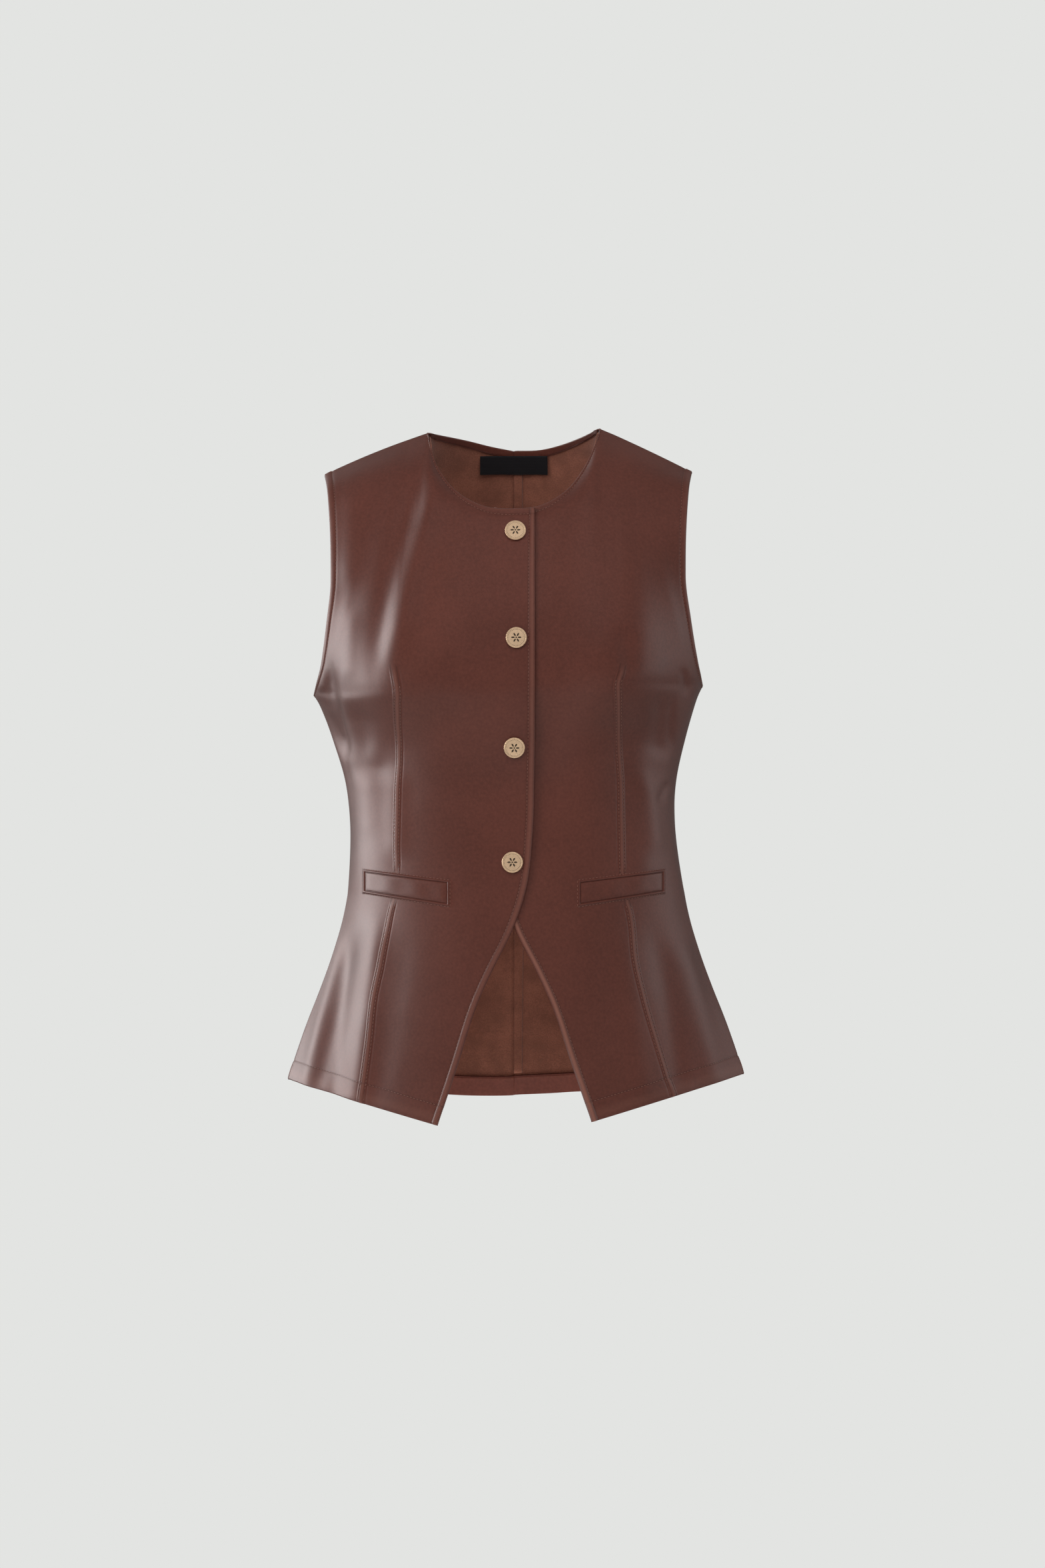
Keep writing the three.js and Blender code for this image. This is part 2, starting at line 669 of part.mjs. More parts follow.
// A welt lies on its front: a strip with a softly lower rim
function addWelt(group, panel) {
  const acrossShares = [0, 0.02, ...range(1, WELT.across - 1).map((k) => k / WELT.across), 0.98, 1];
  const downShares = [0, WELT.rimWidth / 17, 0.5, 1 - WELT.rimWidth / 17, 1];
  const layer = (height) => downShares.map((down, r) => acrossShares.map((across, c) => {
    const top = mix(WELT.innerTop, WELT.outerTop, across);
    const bottom = mix(WELT.innerBottom, WELT.outerBottom, across);
    const { row, place } = findPlace(panel, mix(WELT.innerX, WELT.outerX, across), mix(bottom, top, down));
    const onRim = r === 0 || r === downShares.length - 1 || c === 0 || c === acrossShares.length - 1;
    return surface(panel, row, place).addScaledVector(outward(panel, row, place), height(onRim));
  }));
  const upper = layer((onRim) => WELT_GAP + (onRim ? WELT.rim : WELT.thickness));
  const lower = layer(() => WELT_GAP);
  add(group, `pocket_welt_${panel.side}`, wall(upper, lower, flipped(panel)), FINISH.leather);
}

// A snap cap: a low dome with a rolled rim on a short foot, one closed turned solid
function capGeometry() {
  const profile = [
    [0, 0], [6.4, 0], [7.6, 0.5], [8.8, 0.7], [CAP_RADIUS, 1.3], [8.7, 2],
    [8.1, 2.3], [7.3, 1.95], [4.5, 2.45], [0, 2.7],
  ];
  const geometry = new THREE.LatheGeometry(profile.map(([r, h]) => new THREE.Vector2(r, h)), 28);
  geometry.rotateX(Math.PI / 2);
  return geometry;
}

function addCaps(group, panel) {
  CAPS.forEach((cap, k) => {
    const { row, place } = findPlace(panel, cap.x, cap.z);
    const normal = outward(panel, row, place);
    const mesh = new THREE.Mesh(capGeometry(), FINISH.metal);
    mesh.name = `snap_cap_${k + 1}`;
    mesh.quaternion.setFromUnitVectors(new THREE.Vector3(0, 0, 1), normal);
    mesh.position.copy(surface(panel, row, place)).addScaledVector(normal, GAP + 0.25);
    group.add(mesh);
  });
}

// The label hangs inside the neck across both back panels
function addLabel(group, left, right) {
  const depth = LEATHER + BAND_GAP + FACING + 3 * GAP;
  const across = range(-6, 6);
  const heights = [LABEL.bottom, mix(LABEL.bottom, LABEL.top, 0.5), LABEL.top];
  const layer = (distance) => heights.map((z) => across.map((k) => {
    const x = (k / 6) * LABEL.halfWidth;
    const panel = x < 0 ? right : left;
    const { row, place } = findPlace(panel, Math.max(Math.abs(x), 0.2), z);
    const point = surface(panel, row, place).addScaledVector(outward(panel, row, place), -distance);
    if (k === 0) point.x = 0;
    return point;
  }));
  const geometry = wall(layer(depth), layer(depth + LABEL.thickness), true);
  add(group, "neck_label", geometry, FINISH.label);
}

const vest = new THREE.Group();
const panels = ["left", "right"].flatMap((side) => ["front", "back"].map((piece) => makePanel(piece, side)));
for (const panel of panels) {
  addPanel(vest, panel);
  addArmholeFacing(vest, panel);
  if (panel.front) addWelt(vest, panel);
  if (!panel.front) addHemTurn(vest, panel);
  if (!panel.front) addNeckFacing(vest, panel);
}
const panelOf = (piece, side) => panels.find((panel) => panel.piece === piece && panel.side === side);
addSeamAllowance(vest, panelOf("back", "left"));
addCaps(vest, panelOf("front", "right"));
addLabel(vest, panelOf("back", "left"), panelOf("back", "right"));

export default vest;
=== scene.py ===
"""A fitted leather vest, filled out as worn: its leather, brushed inside, sewing, welts, caps and label."""

import math

import bmesh
import bpy
import numpy as np
from mathutils import Matrix, Vector


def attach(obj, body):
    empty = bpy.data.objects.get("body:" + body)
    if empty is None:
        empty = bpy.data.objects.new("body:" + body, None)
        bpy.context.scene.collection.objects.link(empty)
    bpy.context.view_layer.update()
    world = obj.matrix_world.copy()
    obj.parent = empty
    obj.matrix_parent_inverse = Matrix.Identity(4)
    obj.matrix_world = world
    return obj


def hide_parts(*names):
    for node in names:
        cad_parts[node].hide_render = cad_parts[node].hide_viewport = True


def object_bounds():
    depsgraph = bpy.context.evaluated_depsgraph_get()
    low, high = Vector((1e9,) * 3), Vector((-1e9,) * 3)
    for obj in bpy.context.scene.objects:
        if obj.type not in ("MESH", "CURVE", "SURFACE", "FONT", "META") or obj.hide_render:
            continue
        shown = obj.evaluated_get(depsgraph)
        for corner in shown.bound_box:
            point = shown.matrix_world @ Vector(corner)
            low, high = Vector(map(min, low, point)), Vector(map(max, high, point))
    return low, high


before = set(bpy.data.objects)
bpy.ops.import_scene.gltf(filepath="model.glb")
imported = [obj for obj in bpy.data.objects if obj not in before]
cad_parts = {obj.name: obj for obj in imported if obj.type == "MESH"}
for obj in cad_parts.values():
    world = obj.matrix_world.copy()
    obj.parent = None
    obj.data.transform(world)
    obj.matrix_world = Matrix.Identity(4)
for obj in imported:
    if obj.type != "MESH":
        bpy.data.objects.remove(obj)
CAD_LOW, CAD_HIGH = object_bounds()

bl_info = {
    "name": "Leather vest",
    "version": (1, 0, 0),
    "blender": (4, 5, 0),
    "location": "3D view > Sidebar > Vest",
    "description": "Builds a fitted leather vest round its packed frame",
    "category": "Add Mesh",
}

MM = 0.001
BODY = "root"

# Walls and gaps in millimetres, as in the frame's own solids
LEATHER = 1.4
TURNED = 2.4
FACING = 1.0
GAP = 0.3
BAND_GAP = 0.5
UNDERLAP = 3.2
UNDERLAP_SLOPE = 0.5
UNDERLAP_FLAT = 24
UNDERLAP_END = 70

# Widths from an edge in millimetres
EDGE_TURN = 7
HEM_TURN = 17
NECK_FACING = 7
ARMHOLE_FACING = 8
# Rounding of a strip's free edge
STRIP_ROUND = 0.6

# Dart seam: the lap's width, the slope beside it, and how far up it runs
LAP_WIDTH = 4.8
LAP_SLOPE = 0.9
LAP_TOP = -196
LAP_FADE = 14

# Welts, from the centre and by height
WELT = dict(outer_x=127, outer_top=-361, outer_bottom=-376.5, inner_x=57, inner_top=-369.5,
            inner_bottom=-387, thickness=1.7)
# Round a welt, outwards from its strip: a lip, a row of stitches, and where the patch sinks in
WELT_LIP, WELT_STITCHES, WELT_END = 1.3, 2.7, 3.8

# Snap caps on the upper front, from the centre towards the wearer's right, and by height
CAP_PLACES = [(-1.4, -69.5), (-2.2, -161), (-0.5, -254), (1.2, -352)]

LABEL = dict(half_width=30, top=1.5, bottom=-14.5, thickness=0.5)


def table(names, values):
    """A table's columns by name."""
    return dict(zip(names.split(), np.array(values, float).T))


# The vest sits a little off centre and askew: how far it is shifted to the left, and by how much
# its left side is up and its right side down
LEAN = table("z shift tilt", [
    [-540, 1.8, 2.3],
    [-380, 2, 0.5],
    [-300, -2.2, 0],
    [-230, -4.4, 1.5],
    [-205, -4.8, 4],
    [-180, -4, 3],
    [-110, -4.8, 1],
    [-18, -4.9, 1.15],
    [15, 0, 2.6],
])
LEAN_FULL = 150
NECK_SKEW = 3.3

# Side seam from the hem up to the underarm
SIDE_SEAM = table("x y z", [
    [197.5, -2, -537],
    [182.8, -1, -494],
    [169.5, 0, -460],
    [159.4, 1, -432],
    [149.6, 1, -399],
    [143.8, 1, -366],
    [140.2, 2, -320],
    [142.8, 2, -283],
    [152.4, 2, -246],
    [162, 1, -217],
    [168, 1, -205],
])

# Armhole edges from the underarm up to the shoulder tip
FRONT_ARMHOLE = table("x y z", [
    [165.8, -19, -196],
    [161.5, -36, -178],
    [156.5, -50, -145],
    [152.4, -56, -108],
    [153, -50, -70],
    [155.6, -32, -34],
    [159, 0, -16.8],
])
BACK_ARMHOLE = table("x y z", [
    [165, 22, -195],
    [160.5, 38, -178],
    [155, 52, -145],
    [151, 57, -108],
    [151.6, 50, -68],
    [155, 32, -33],
    [159, 0, -16.8],
])

# Front edge from the hem up to the neck, with each section's bend, its dart seam, and how far
# both dart seams lie to the left
FRONT_EDGE = table("x y z turn dart shift", [
    [66, -103, -574.5, 58, 133.5, 2],
    [48.5, -102, -523, 62, 122.5, -2],
    [34, -100, -478, 68, 114.5, -5.5],
    [19.8, -97, -446, 74, 108, -6],
    [0, -94, -407, 80, 103.5, -4.5],
    [-12, -91, -369, 86, 97, -4.5],
    [-16.8, -88, -321, 90, 96, -3],
    [-17.8, -90, -283, 90, 96.5, -2],
    [-18.4, -98, -245, 88, 94.5, -2],
    [-18.4, -104, -216, 86, 90, -2],
    [-18.4, -106, -200, 82, 88, -2],
    [-18.4, -105.5, -184, 74, 90, -1.5],
    [-18.4, -104, -165, 67, 94, -1],
    [-18.4, -99, -134, 59, 99, 0],
    [-18.4, -91, -104, 54, 105, 0],
    [-18.4, -82, -78, 52, 111, 0],
    [-18.4, -74.5, -61, 51, 117, 0],
    [-18.4, -67, -48.5, 50, 122, 0],
])

# Centre back seam from the hem up to the neck
CENTRE_BACK = table("x y z turn", [
    [0, 100, -557, 58],
    [0, 97, -512, 62],
    [0, 94, -474, 68],
    [0, 90, -443, 74],
    [0, 85, -407, 80],
    [0, 78, -371, 86],
    [0, 69, -322, 90],
    [0, 68, -284, 90],
    [0, 76, -247, 88],
    [0, 84, -216, 85],
    [0, 88, -200, 82],
    [0, 91, -182, 74],
    [0, 93, -162, 67],
    [0, 94, -128, 60],
    [0, 92, -92, 55],
    [0, 84, -56, 53],
    [0, 73, -22, 51],
    [0, 62, 5, 50],
])
UNDERARM = 10
SEAM_RISE = 0.55
LAP_STITCHES = (-2.4, 2.4)

# Neckline to the neck end of the shoulder seam
FRONT_NECK = table("x y z", [
    [-18.4, -66.3, -48.5],
    [0, -67, -49],
    [17, -66, -48.2],
    [35, -61.5, -42],
    [51.5, -50, -29.5],
    [64.5, -33, -10.5],
    [71.6, -13, 8.6],
    [74.2, 6, 20.3],
])
BACK_NECK = table("x y z", [
    [0, 62, 5],
    [22, 60, 7.4],
    [42, 51.5, 11.9],
    [58.5, 38, 16.2],
    [69.5, 22, 19.2],
    [74.2, 6, 20.3],
])
NECK_LENGTH = {"front": 160, "back": 105}
NECK_BLEND = 12.6
NECK_RISE = 1.7
NECK_LEVEL = 3.4
SHOULDER_BOW = {"left": 0.2, "right": 2.6}
NECK_WIDTH = 74.2

# Room for the figure: piece, place, spreads inwards, outwards, up and down, and height
MOUNDS = [
    ("front", 92, -188, 50, 42, 74, 40, 17),
    ("front", 108, -256, 36, 40, 26, 50, -5),
    ("back", 74, -122, 60, 50, 60, 80, 7),
    ("back", 70, -440, 60, 60, 50, 70, 6),
]

# Soft folds: panel, then three places along each, its spread and its height
FOLDS = [
    ("front_right", 98, -36, 100, -130, 104, -200, 13, 3),
    ("front_right", 74, -70, 78, -140, 84, -205, 14, -1.6),
    ("front_right", 156, -170, 152, -215, 148, -268, 8, -5),
    ("front_right", 118, -228, 124, -290, 127, -350, 9, 2.2),
    ("front_right", 131, -398, 139, -463, 152, -540, 8, 3.2),
    ("front_right", 147, -405, 155, -463, 172, -540, 8, -3),
    ("front_right", 92, -398, 101, -462, 116, -545, 10, 1.8),
    ("front_left", 93, -150, 94, -175, 95, -200, 8, -1.6),
    ("front_left", 112, -238, 114, -300, 112, -385, 13, 2),
    ("front_left", 118, -396, 126, -440, 140, -535, 10, -2.2),
    ("front_left", 140, -410, 152, -463, 170, -535, 11, 2.6),
    ("front_left", 92, -398, 99, -462, 110, -545, 12, 1.5),
    ("back_right", 40, -410, 50, -470, 62, -552, 13, 3.2),
    ("back_right", 78, -400, 92, -465, 108, -548, 12, -3.6),
    ("back_right", 118, -395, 134, -460, 156, -540, 12, 3),
    ("back_right", 30, -300, 70, -306, 118, -296, 9, -1.8),
    ("back_left", 34, -415, 46, -470, 52, -552, 14, 2.6),
    ("back_left", 70, -402, 88, -465, 100, -548, 11, -3.2),
    ("back_left", 122, -392, 136, -460, 160, -540, 13, 3.2),
    ("back_left", 26, -308, 66, -300, 112, -304, 8, -1.6),
]
# Shallower forms that only the finished leather has, in the same columns
FINE_FOLDS = [
    ("front_right", 57, 0, 81, -98, 89, -190, 9, 3.6),
    ("front_right", 76, -4, 101, -104, 107, -206, 10, -4.5),
    ("front_right", 131, -128, 134, -160, 136, -200, 9, 1.6),
    ("front_right", 134, -20, 139, -70, 141, -124, 13, 2.4),
    ("front_right", 92, -398, 101, -462, 116, -545, 10, -2.4),
    ("front_right", 138, -2, 146, -26, 150, -52, 5, -1.0),
    ("front_right", 132, -206, 128, -240, 120, -290, 14, -3.4),
    ("front_right", 147.5, -205, 147, -234, 144, -266, 3, -1.5),
    ("front_right", 119, -250, 124, -300, 127, -352, 9, -1.6),
    ("front_right", 101, -262, 101, -310, 101, -356, 9, 1.8),
    ("front_right", 131, -398, 139, -463, 152, -540, 8, -2.6),
    ("front_right", 117, -384, 125, -463, 136, -548, 10, 3.2),
    ("front_right", 139, -394, 148, -463, 158, -545, 9, -2.6),
    ("front_right", 158, -415, 166, -470, 178, -545, 9, 2.4),
    ("front_left", 22, -190, 24, -300, 16, -400, 15, -3.2),
    ("front_left", 139, -208, 140, -232, 142, -258, 3, -1.2),
    ("front_left", 128, -206, 131, -236, 132, -268, 10, -2.6),
    ("front_left", 147, -188, 150, -200, 153, -214, 3.5, -1.4),
    ("front_left", 138, -282, 133, -292, 126, -302, 4, -1.2),
    ("front_left", 100, -60, 106, -120, 110, -186, 16, 1.6),
    ("front_left", 116, -270, 122, -318, 120, -352, 9, 1.8),
    ("back_right", 150, -212, 128, -236, 108, -262, 6, -1.8),
    ("back_right", 146, -236, 122, -268, 104, -300, 7, 1.6),
    ("back_right", 40, -60, 58, -110, 66, -190, 14, 1.8),
    ("back_right", 132, -40, 122, -90, 118, -160, 12, -2.2),
    ("back_left", 152, -210, 132, -240, 106, -270, 6, -1.6),
    ("back_left", 144, -246, 118, -276, 100, -306, 8, 1.6),
    ("back_left", 46, -64, 60, -120, 62, -200, 13, 1.6),
    ("back_left", 134, -44, 125, -96, 116, -170, 12, -2.4),
    ("back_left", 20, -330, 60, -338, 110, -326, 7, -1.4),
    ("back_right", 24, -334, 66, -328, 112, -336, 8, 1.2),
]
HEM_REACH = -530
FOLD_CALM = 27
CENTRE_ROUND = 12

# Places across a panel where the spacing of its columns changes
COLUMNS = {
    "front": dict(edge=1, neck=8, lap_start=9, lap_top=10, lap_end=11, lap_foot=12, faced=18, last=19),
    "back": dict(edge=1, neck=6, faced=12, last=13),
}

# Distances in millimetres of the fine mesh lines beside an edge and beside its stitches
EDGE_LINES = [0, 0.12, 0.35, 0.7, 1.1, 1.7, 2.6, 3.8, 5, 5.8, 6.3, 6.7, 7, 7.3, 7.7, 8]
FRONT_LINES = [0, 0.15, 0.45, 0.9, 1.5, 2.2, 3, 3.8, 4.4, 4.8, 5.1, 5.4, 5.7, 6, 6.4]
HEM_LINES = [0, 0.12, 0.35, 0.7, 1.1, 1.8, 3, 5, 8, 11, 13.5, 15.2, 16.1, 16.6, 17, 17.4, 17.9, 18.8, 20.5]
# Columns close beside the dart seam, in places from it
BESIDE_LAP = np.array([0.04, 0.08, 0.13])
BODY_ROWS = 196
STITCH_INSET = 7
FRONT_INSET = 5.4

# Turned edges: how far in their stitches run, in millimetres, and how plump they are
EDGES = {
    "armhole": (STITCH_INSET, 1.2),
    "neckline": (STITCH_INSET, 1.5),
    "hem": (HEM_TURN, 0.9),
    "upper front edge": (FRONT_INSET, 1.6),
    "lower front edge": (FRONT_INSET, 2.4),
}
# Seams: how deep and wide they dip, and how thin and how far in the wall thins where two panels meet
SEAMS = ("side", "shoulder", "centre back")
SEAM_DIP, SEAM_SPREAD = 0.7, 1.3
SEAM_THIN, SEAM_THINNED = 0.12, 2.4
FAR = 1000.0

# Painted highlight: how much paler the leather is painted along its edges and darts, and where, in
# millimetres
EDGE_HIGHLIGHT = {"upper front edge": 0.3, "lower front edge": 0.75, "others": 0.16, "dart": 0.3,
            "inset": 2.4, "spread": 1.6, "dart spread": 1.1}


def ramp(value, start, end):
    """A smooth step from 0 to 1."""
    share = np.clip((np.asarray(value, float) - start) / (end - start), 0, 1)
    return share * share * (3 - 2 * share)


def mix(a, b, share):
    return a + (b - a) * share


def between(values, place, corners=()):
    """A column of a table read between its rows, smooth but for the corners."""
    values = np.asarray(values, float)
    place = np.asarray(place, float)
    steps = np.diff(values)
    before, after = steps[:-1], steps[1:]
    most = 3 * np.minimum(abs(before), abs(after))
    inner = np.where(before * after > 0, np.clip((before + after) / 2, -most, most), 0)
    slopes = np.concatenate([steps[:1], inner, steps[-1:]])
    k = np.clip(np.floor(place).astype(int), 0, len(values) - 2)
    share = place - k
    start, end = slopes[k], slopes[k + 1]
    for corner in corners:
        start = np.where(k == corner, steps[corner], start)
        end = np.where(k + 1 == corner, steps[corner - 1], end)
    square, cube = share**2, share**3
    return (values[k] * (2 * cube - 3 * square + 1) + start * (cube - 2 * square + share)
            + values[k + 1] * (3 * square - 2 * cube) + end * (cube - square))


def bend(first, middle, last, middle_share, share):
    """A parabola through three values."""
    straight = mix(first, last, middle_share)
    bow = (middle - straight) / (middle_share * (1 - middle_share))
    return mix(first, last, share) + bow * share * (1 - share)


def fold_height(fold, x, z):
    """One fold: a bell across a bent line, fading out at both ends."""
    _, x1, z1, x2, z2, x3, z3, spread, height = fold
    if abs(z1 - z3) < 12:
        share = np.clip((x - x1) / (x3 - x1), 0, 1)
        off = (z - bend(z1, z2, z3, (x2 - x1) / (x3 - x1), share)) / spread
        return height * np.exp(-off * off) * ramp(share, 0, 0.35) * (1 - ramp(share, 0.65, 1))
    share = np.clip((z1 - z) / (z1 - z3), 0, 1)
    line = bend(x1, x2, x3, (z1 - z2) / (z1 - z3), share)
    beyond = np.maximum(np.maximum(z - z1, z3 - z), 0)
    off = np.hypot(x - line, beyond) / spread
    end = 1 if z3 < HEM_REACH else 1 - ramp(share, 0.75, 1)
    return height * np.exp(-off * off) * ramp(share, 0, 0.3) * end


class Panel:
    """One cut piece of the vest, read at a section (row) and at a place across it."""

    def __init__(self, piece, side):
        self.piece, self.side = piece, side
        self.name = f"{piece}_{side}"
        self.front = piece == "front"
        self.facing = -1 if self.front else 1
        self.sign = 1 if side == "left" else -1
        self.under = self.front and side == "left"
        self.inner_edge = "centre back"
        if self.front:
            self.inner_edge = "lower front edge" if self.under else "upper front edge"
        self.columns = COLUMNS[piece]
        self.last = self.columns["last"]
        self.line = FRONT_EDGE if self.front else CENTRE_BACK
        armhole = FRONT_ARMHOLE if self.front else BACK_ARMHOLE
        self.outer = {key: np.concatenate([SIDE_SEAM[key], armhole[key]]) for key in "xyz"}
        self.neck = FRONT_NECK if self.front else BACK_NECK
        self.top = len(self.line["x"]) - 1
        self.length_rows = np.linspace(0, self.top, 341)
        self.lengths = self.measure(self.length_rows)

    def ends(self, row):
        start = [between(self.line[key], row) for key in "xyz"]
        end = [between(self.outer[key], row, (UNDERARM,)) for key in "xyz"]
        turn = np.radians(between(self.line["turn"], row))
        first = np.arcsin(np.clip(start[0] / end[0] * np.sin(turn), -1, 1))
        return start, end, turn, first

    def section(self, row, share):
        """A point of a section's arc, and its outward direction in plan."""
        start, end, turn, first = self.ends(row)
        angle = mix(first, turn, share)
        x = end[0] * np.sin(angle) / np.sin(turn)
        y = mix(start[1], end[1], (1 - np.cos(angle)) / (1 - np.cos(turn)))
        along = (x - start[0]) / (end[0] - start[0])
        z = mix(start[2], end[2], along if self.front else along * along)
        dx = end[0] * np.cos(angle) / np.sin(turn)
        dy = (end[1] - start[1]) * np.sin(angle) / (1 - np.cos(turn))
        size = np.hypot(dx, dy)
        return [x, y, z], -self.facing * dy / size, self.facing * dx / size

    def measure(self, rows):
        shares = np.linspace(0, 1, 13)
        points, _, _ = self.section(rows[:, None], shares[None, :])
        return np.hypot(np.diff(points[0], axis=1), np.diff(points[1], axis=1)).sum(axis=1)

    def length(self, row):
        return np.interp(row, self.length_rows, self.lengths)

    def share(self, row, place):
        """Share of the section at a place, so that columns keep to the edges and to the dart seam."""
        length = self.length(row)
        near, far = EDGE_TURN / length, 1 - ARMHOLE_FACING / length
        c = self.columns
        if not self.front:
            return knots(place, [0, c["edge"], c["faced"], c["last"]], [0 * near, near, far, 1 + 0 * near])
        start, end, turn, first = self.ends(row)
        dart_x = between(self.line["dart"], row) + self.sign * between(self.line["shift"], row)
        dart = (np.arcsin(np.clip(dart_x / end[0] * np.sin(turn), -1, 1)) - first) / (turn - first)
        widen = 1 + 4 * ramp(row, UNDERARM, self.top)
        half = LAP_WIDTH / 2 / length * widen
        foot = half + LAP_SLOPE / length * widen
        lap = [c[key] for key in ("lap_start", "lap_top", "lap_end", "lap_foot")]
        places = [0, c["edge"], *lap, c["faced"], c["last"]]
        return knots(place, places, [0 * near, near, dart - foot, dart - half, dart + half, dart + foot,
                                     far, 1 + 0 * near])

    def top_edge(self, place):
        """The neckline and the shoulder seam."""
        c = self.columns
        neck_share = np.interp(place, [0, c["edge"], c["neck"]], [0, EDGE_TURN / NECK_LENGTH[self.piece], 1])
        rows = len(self.neck["x"]) - 1
        neck = [between(self.neck[key], neck_share * rows) for key in "xyz"]
        tip = [self.outer[key][-1] for key in "xyz"]
        start = [self.neck[key][-1] for key in "xyz"]
        seam = math.hypot(tip[0] - start[0], tip[2] - start[2])
        share = np.interp(place, [c["neck"], c["faced"], c["last"]], [0, 1 - ARMHOLE_FACING / seam, 1])
        shoulder = [mix(s, t, share) for s, t in zip(start, tip)]
        shoulder[2] = shoulder[2] + SHOULDER_BOW[self.side] * 4 * share * (1 - share)
        return [np.where(place <= c["neck"], n, s) for n, s in zip(neck, shoulder)]

    def relief(self, from_centre, z):
        x = np.hypot(from_centre, CENTRE_ROUND)
        height = np.zeros_like(x)
        for piece, mx, mz, inward, outward, up, down, rise in MOUNDS:
            if piece == self.piece:
                across = (x - mx) / np.where(x < mx, inward, outward)
                upright = (z - mz) / np.where(z > mz, up, down)
                height += rise * np.exp(-across**2 - upright**2)
        for fold in FOLDS + FINE_FOLDS:
            if fold[0] == self.name:
                height += fold_height(fold, x, z)
        return height

    def surface(self, row, place):
        """Outer face of the leather in millimetres, without its seams' small forms."""
        row, place = np.broadcast_arrays(np.asarray(row, float), np.asarray(place, float))
        share = self.share(row, place)
        point, nx, ny = self.section(row, share)
        part = np.clip((row - NECK_BLEND) / (self.top - NECK_BLEND), 0, 1)
        top_row = np.full_like(row, self.top)
        base, _, _ = self.section(top_row, self.share(top_row, place))
        target = self.top_edge(place)
        powers = (NECK_RISE, NECK_LEVEL, NECK_RISE)
        point = [p + (t - b) * part**power for p, t, b, power in zip(point, target, base, powers)]
        length = self.length(row)
        calm = ramp((1 - share) * length, 0, FOLD_CALM)
        if not self.front:
            calm = calm * ramp(share * length, 0, FOLD_CALM)
        rise = self.relief(point[0], point[2]) * calm * ramp(self.top - row, 0, 1.2)
        if self.under:
            slope = 1 + UNDERLAP_SLOPE * ramp(row, NECK_BLEND, self.top)
            rise = rise - UNDERLAP * slope * (1 - ramp(point[0], UNDERLAP_FLAT, UNDERLAP_END))
        return self.on_wearer(point[0] + nx * rise, point[1] + ny * rise, point[2])

    def on_wearer(self, x, y, z):
        out = np.clip(x / LEAN_FULL, 0, 1)
        lean = np.interp(z, LEAN["z"], LEAN["shift"]) * out
        rise = np.interp(z, LEAN["z"], LEAN["tilt"]) * np.sqrt(out)
        if not self.front:
            rise = rise - NECK_SKEW * np.sin(np.pi * np.clip(x / NECK_WIDTH, 0, 1)) * ramp(z, -60, 0)
        return np.stack([self.sign * x + lean, y, z + self.sign * rise], axis=-1)

    def outward(self, row, place, step=0.04):
        """Outward directions at single places."""
        low = self.surface(np.maximum(row - step, 0), place)
        high = self.surface(np.minimum(row + step, self.top), place)
        near = self.surface(row, np.maximum(place - step, 0))
        far = self.surface(row, np.minimum(place + step, self.last))
        return self.turned_out(np.cross(far - near, high - low))

    def turned_out(self, normal):
        normal = normal / np.maximum(np.linalg.norm(normal, axis=-1, keepdims=True), 1e-9)
        return normal * (-self.facing * self.sign)

    def rows_at(self, places, from_hem, from_top, middle):
        """Rows of the fine mesh: at distances from the hem, evenly between, at distances from the top."""
        fine = np.linspace(0, self.top, 681)
        points = self.surface(fine[:, None], places[None, :])
        gone = np.linalg.norm(np.diff(points, axis=0), axis=2).cumsum(axis=0)
        gone = np.vstack([np.zeros(len(places)), gone])
        rows = []
        for c in range(len(places)):
            total = gone[-1, c]
            even = []
            if middle:
                even = np.linspace(from_hem[-1], total - from_top[-1], middle + 2)[1:-1]
            wanted = np.concatenate([from_hem, even, total - np.array(from_top[::-1], float)])
            rows.append(np.interp(wanted, gone[:, c], fine))
        return np.array(rows).T, gone[-1]


def knots(place, places, values):
    """Straight steps between places, where the values may be arrays."""
    result = values[0] + 0 * place
    for k in range(len(places) - 1):
        share = (place - places[k]) / (places[k + 1] - places[k])
        result = np.where(place > places[k], mix(values[k], values[k + 1], np.clip(share, 0, 1)), result)
    return result


PANELS = {f"{piece}_{side}": Panel(piece, side) for piece in ("front", "back") for side in ("left", "right")}


def place_lines(panel):
    """Places of the fine mesh's columns."""
    c = panel.columns
    lines = FRONT_LINES if panel.front else EDGE_LINES
    edge = [mm / EDGE_TURN for mm in lines if mm < EDGE_TURN]
    outer = [c["last"] - mm / ARMHOLE_FACING for mm in reversed(EDGE_LINES)]
    if not panel.front:
        body = np.arange(c["edge"], c["faced"] - 0.05, 0.2)
        return np.unique(np.round(np.concatenate([edge, body, outer]), 5))
    start, top, end, foot = [c[key] for key in ("lap_start", "lap_top", "lap_end", "lap_foot")]
    before = np.concatenate([[1, 1.1], np.arange(1.2, start - 0.1, 0.2), start - BESIDE_LAP[::-1]])
    lap = np.concatenate([np.linspace(start, top, 5), np.linspace(top, end, 17), np.linspace(end, foot, 5)])
    after = np.concatenate([foot + BESIDE_LAP, np.arange(foot + 0.2, c["faced"] - 0.05, 0.2)])
    return np.unique(np.round(np.concatenate([edge, before, lap, after, outer]), 5))


def rolled(distance, radius):
    """How far a rounded edge falls away."""
    inside = np.clip(radius - distance, 0, radius)
    return np.sqrt(radius**2 - inside**2) - radius


def groove(distance, width):
    return np.exp(-((distance / width) ** 2))


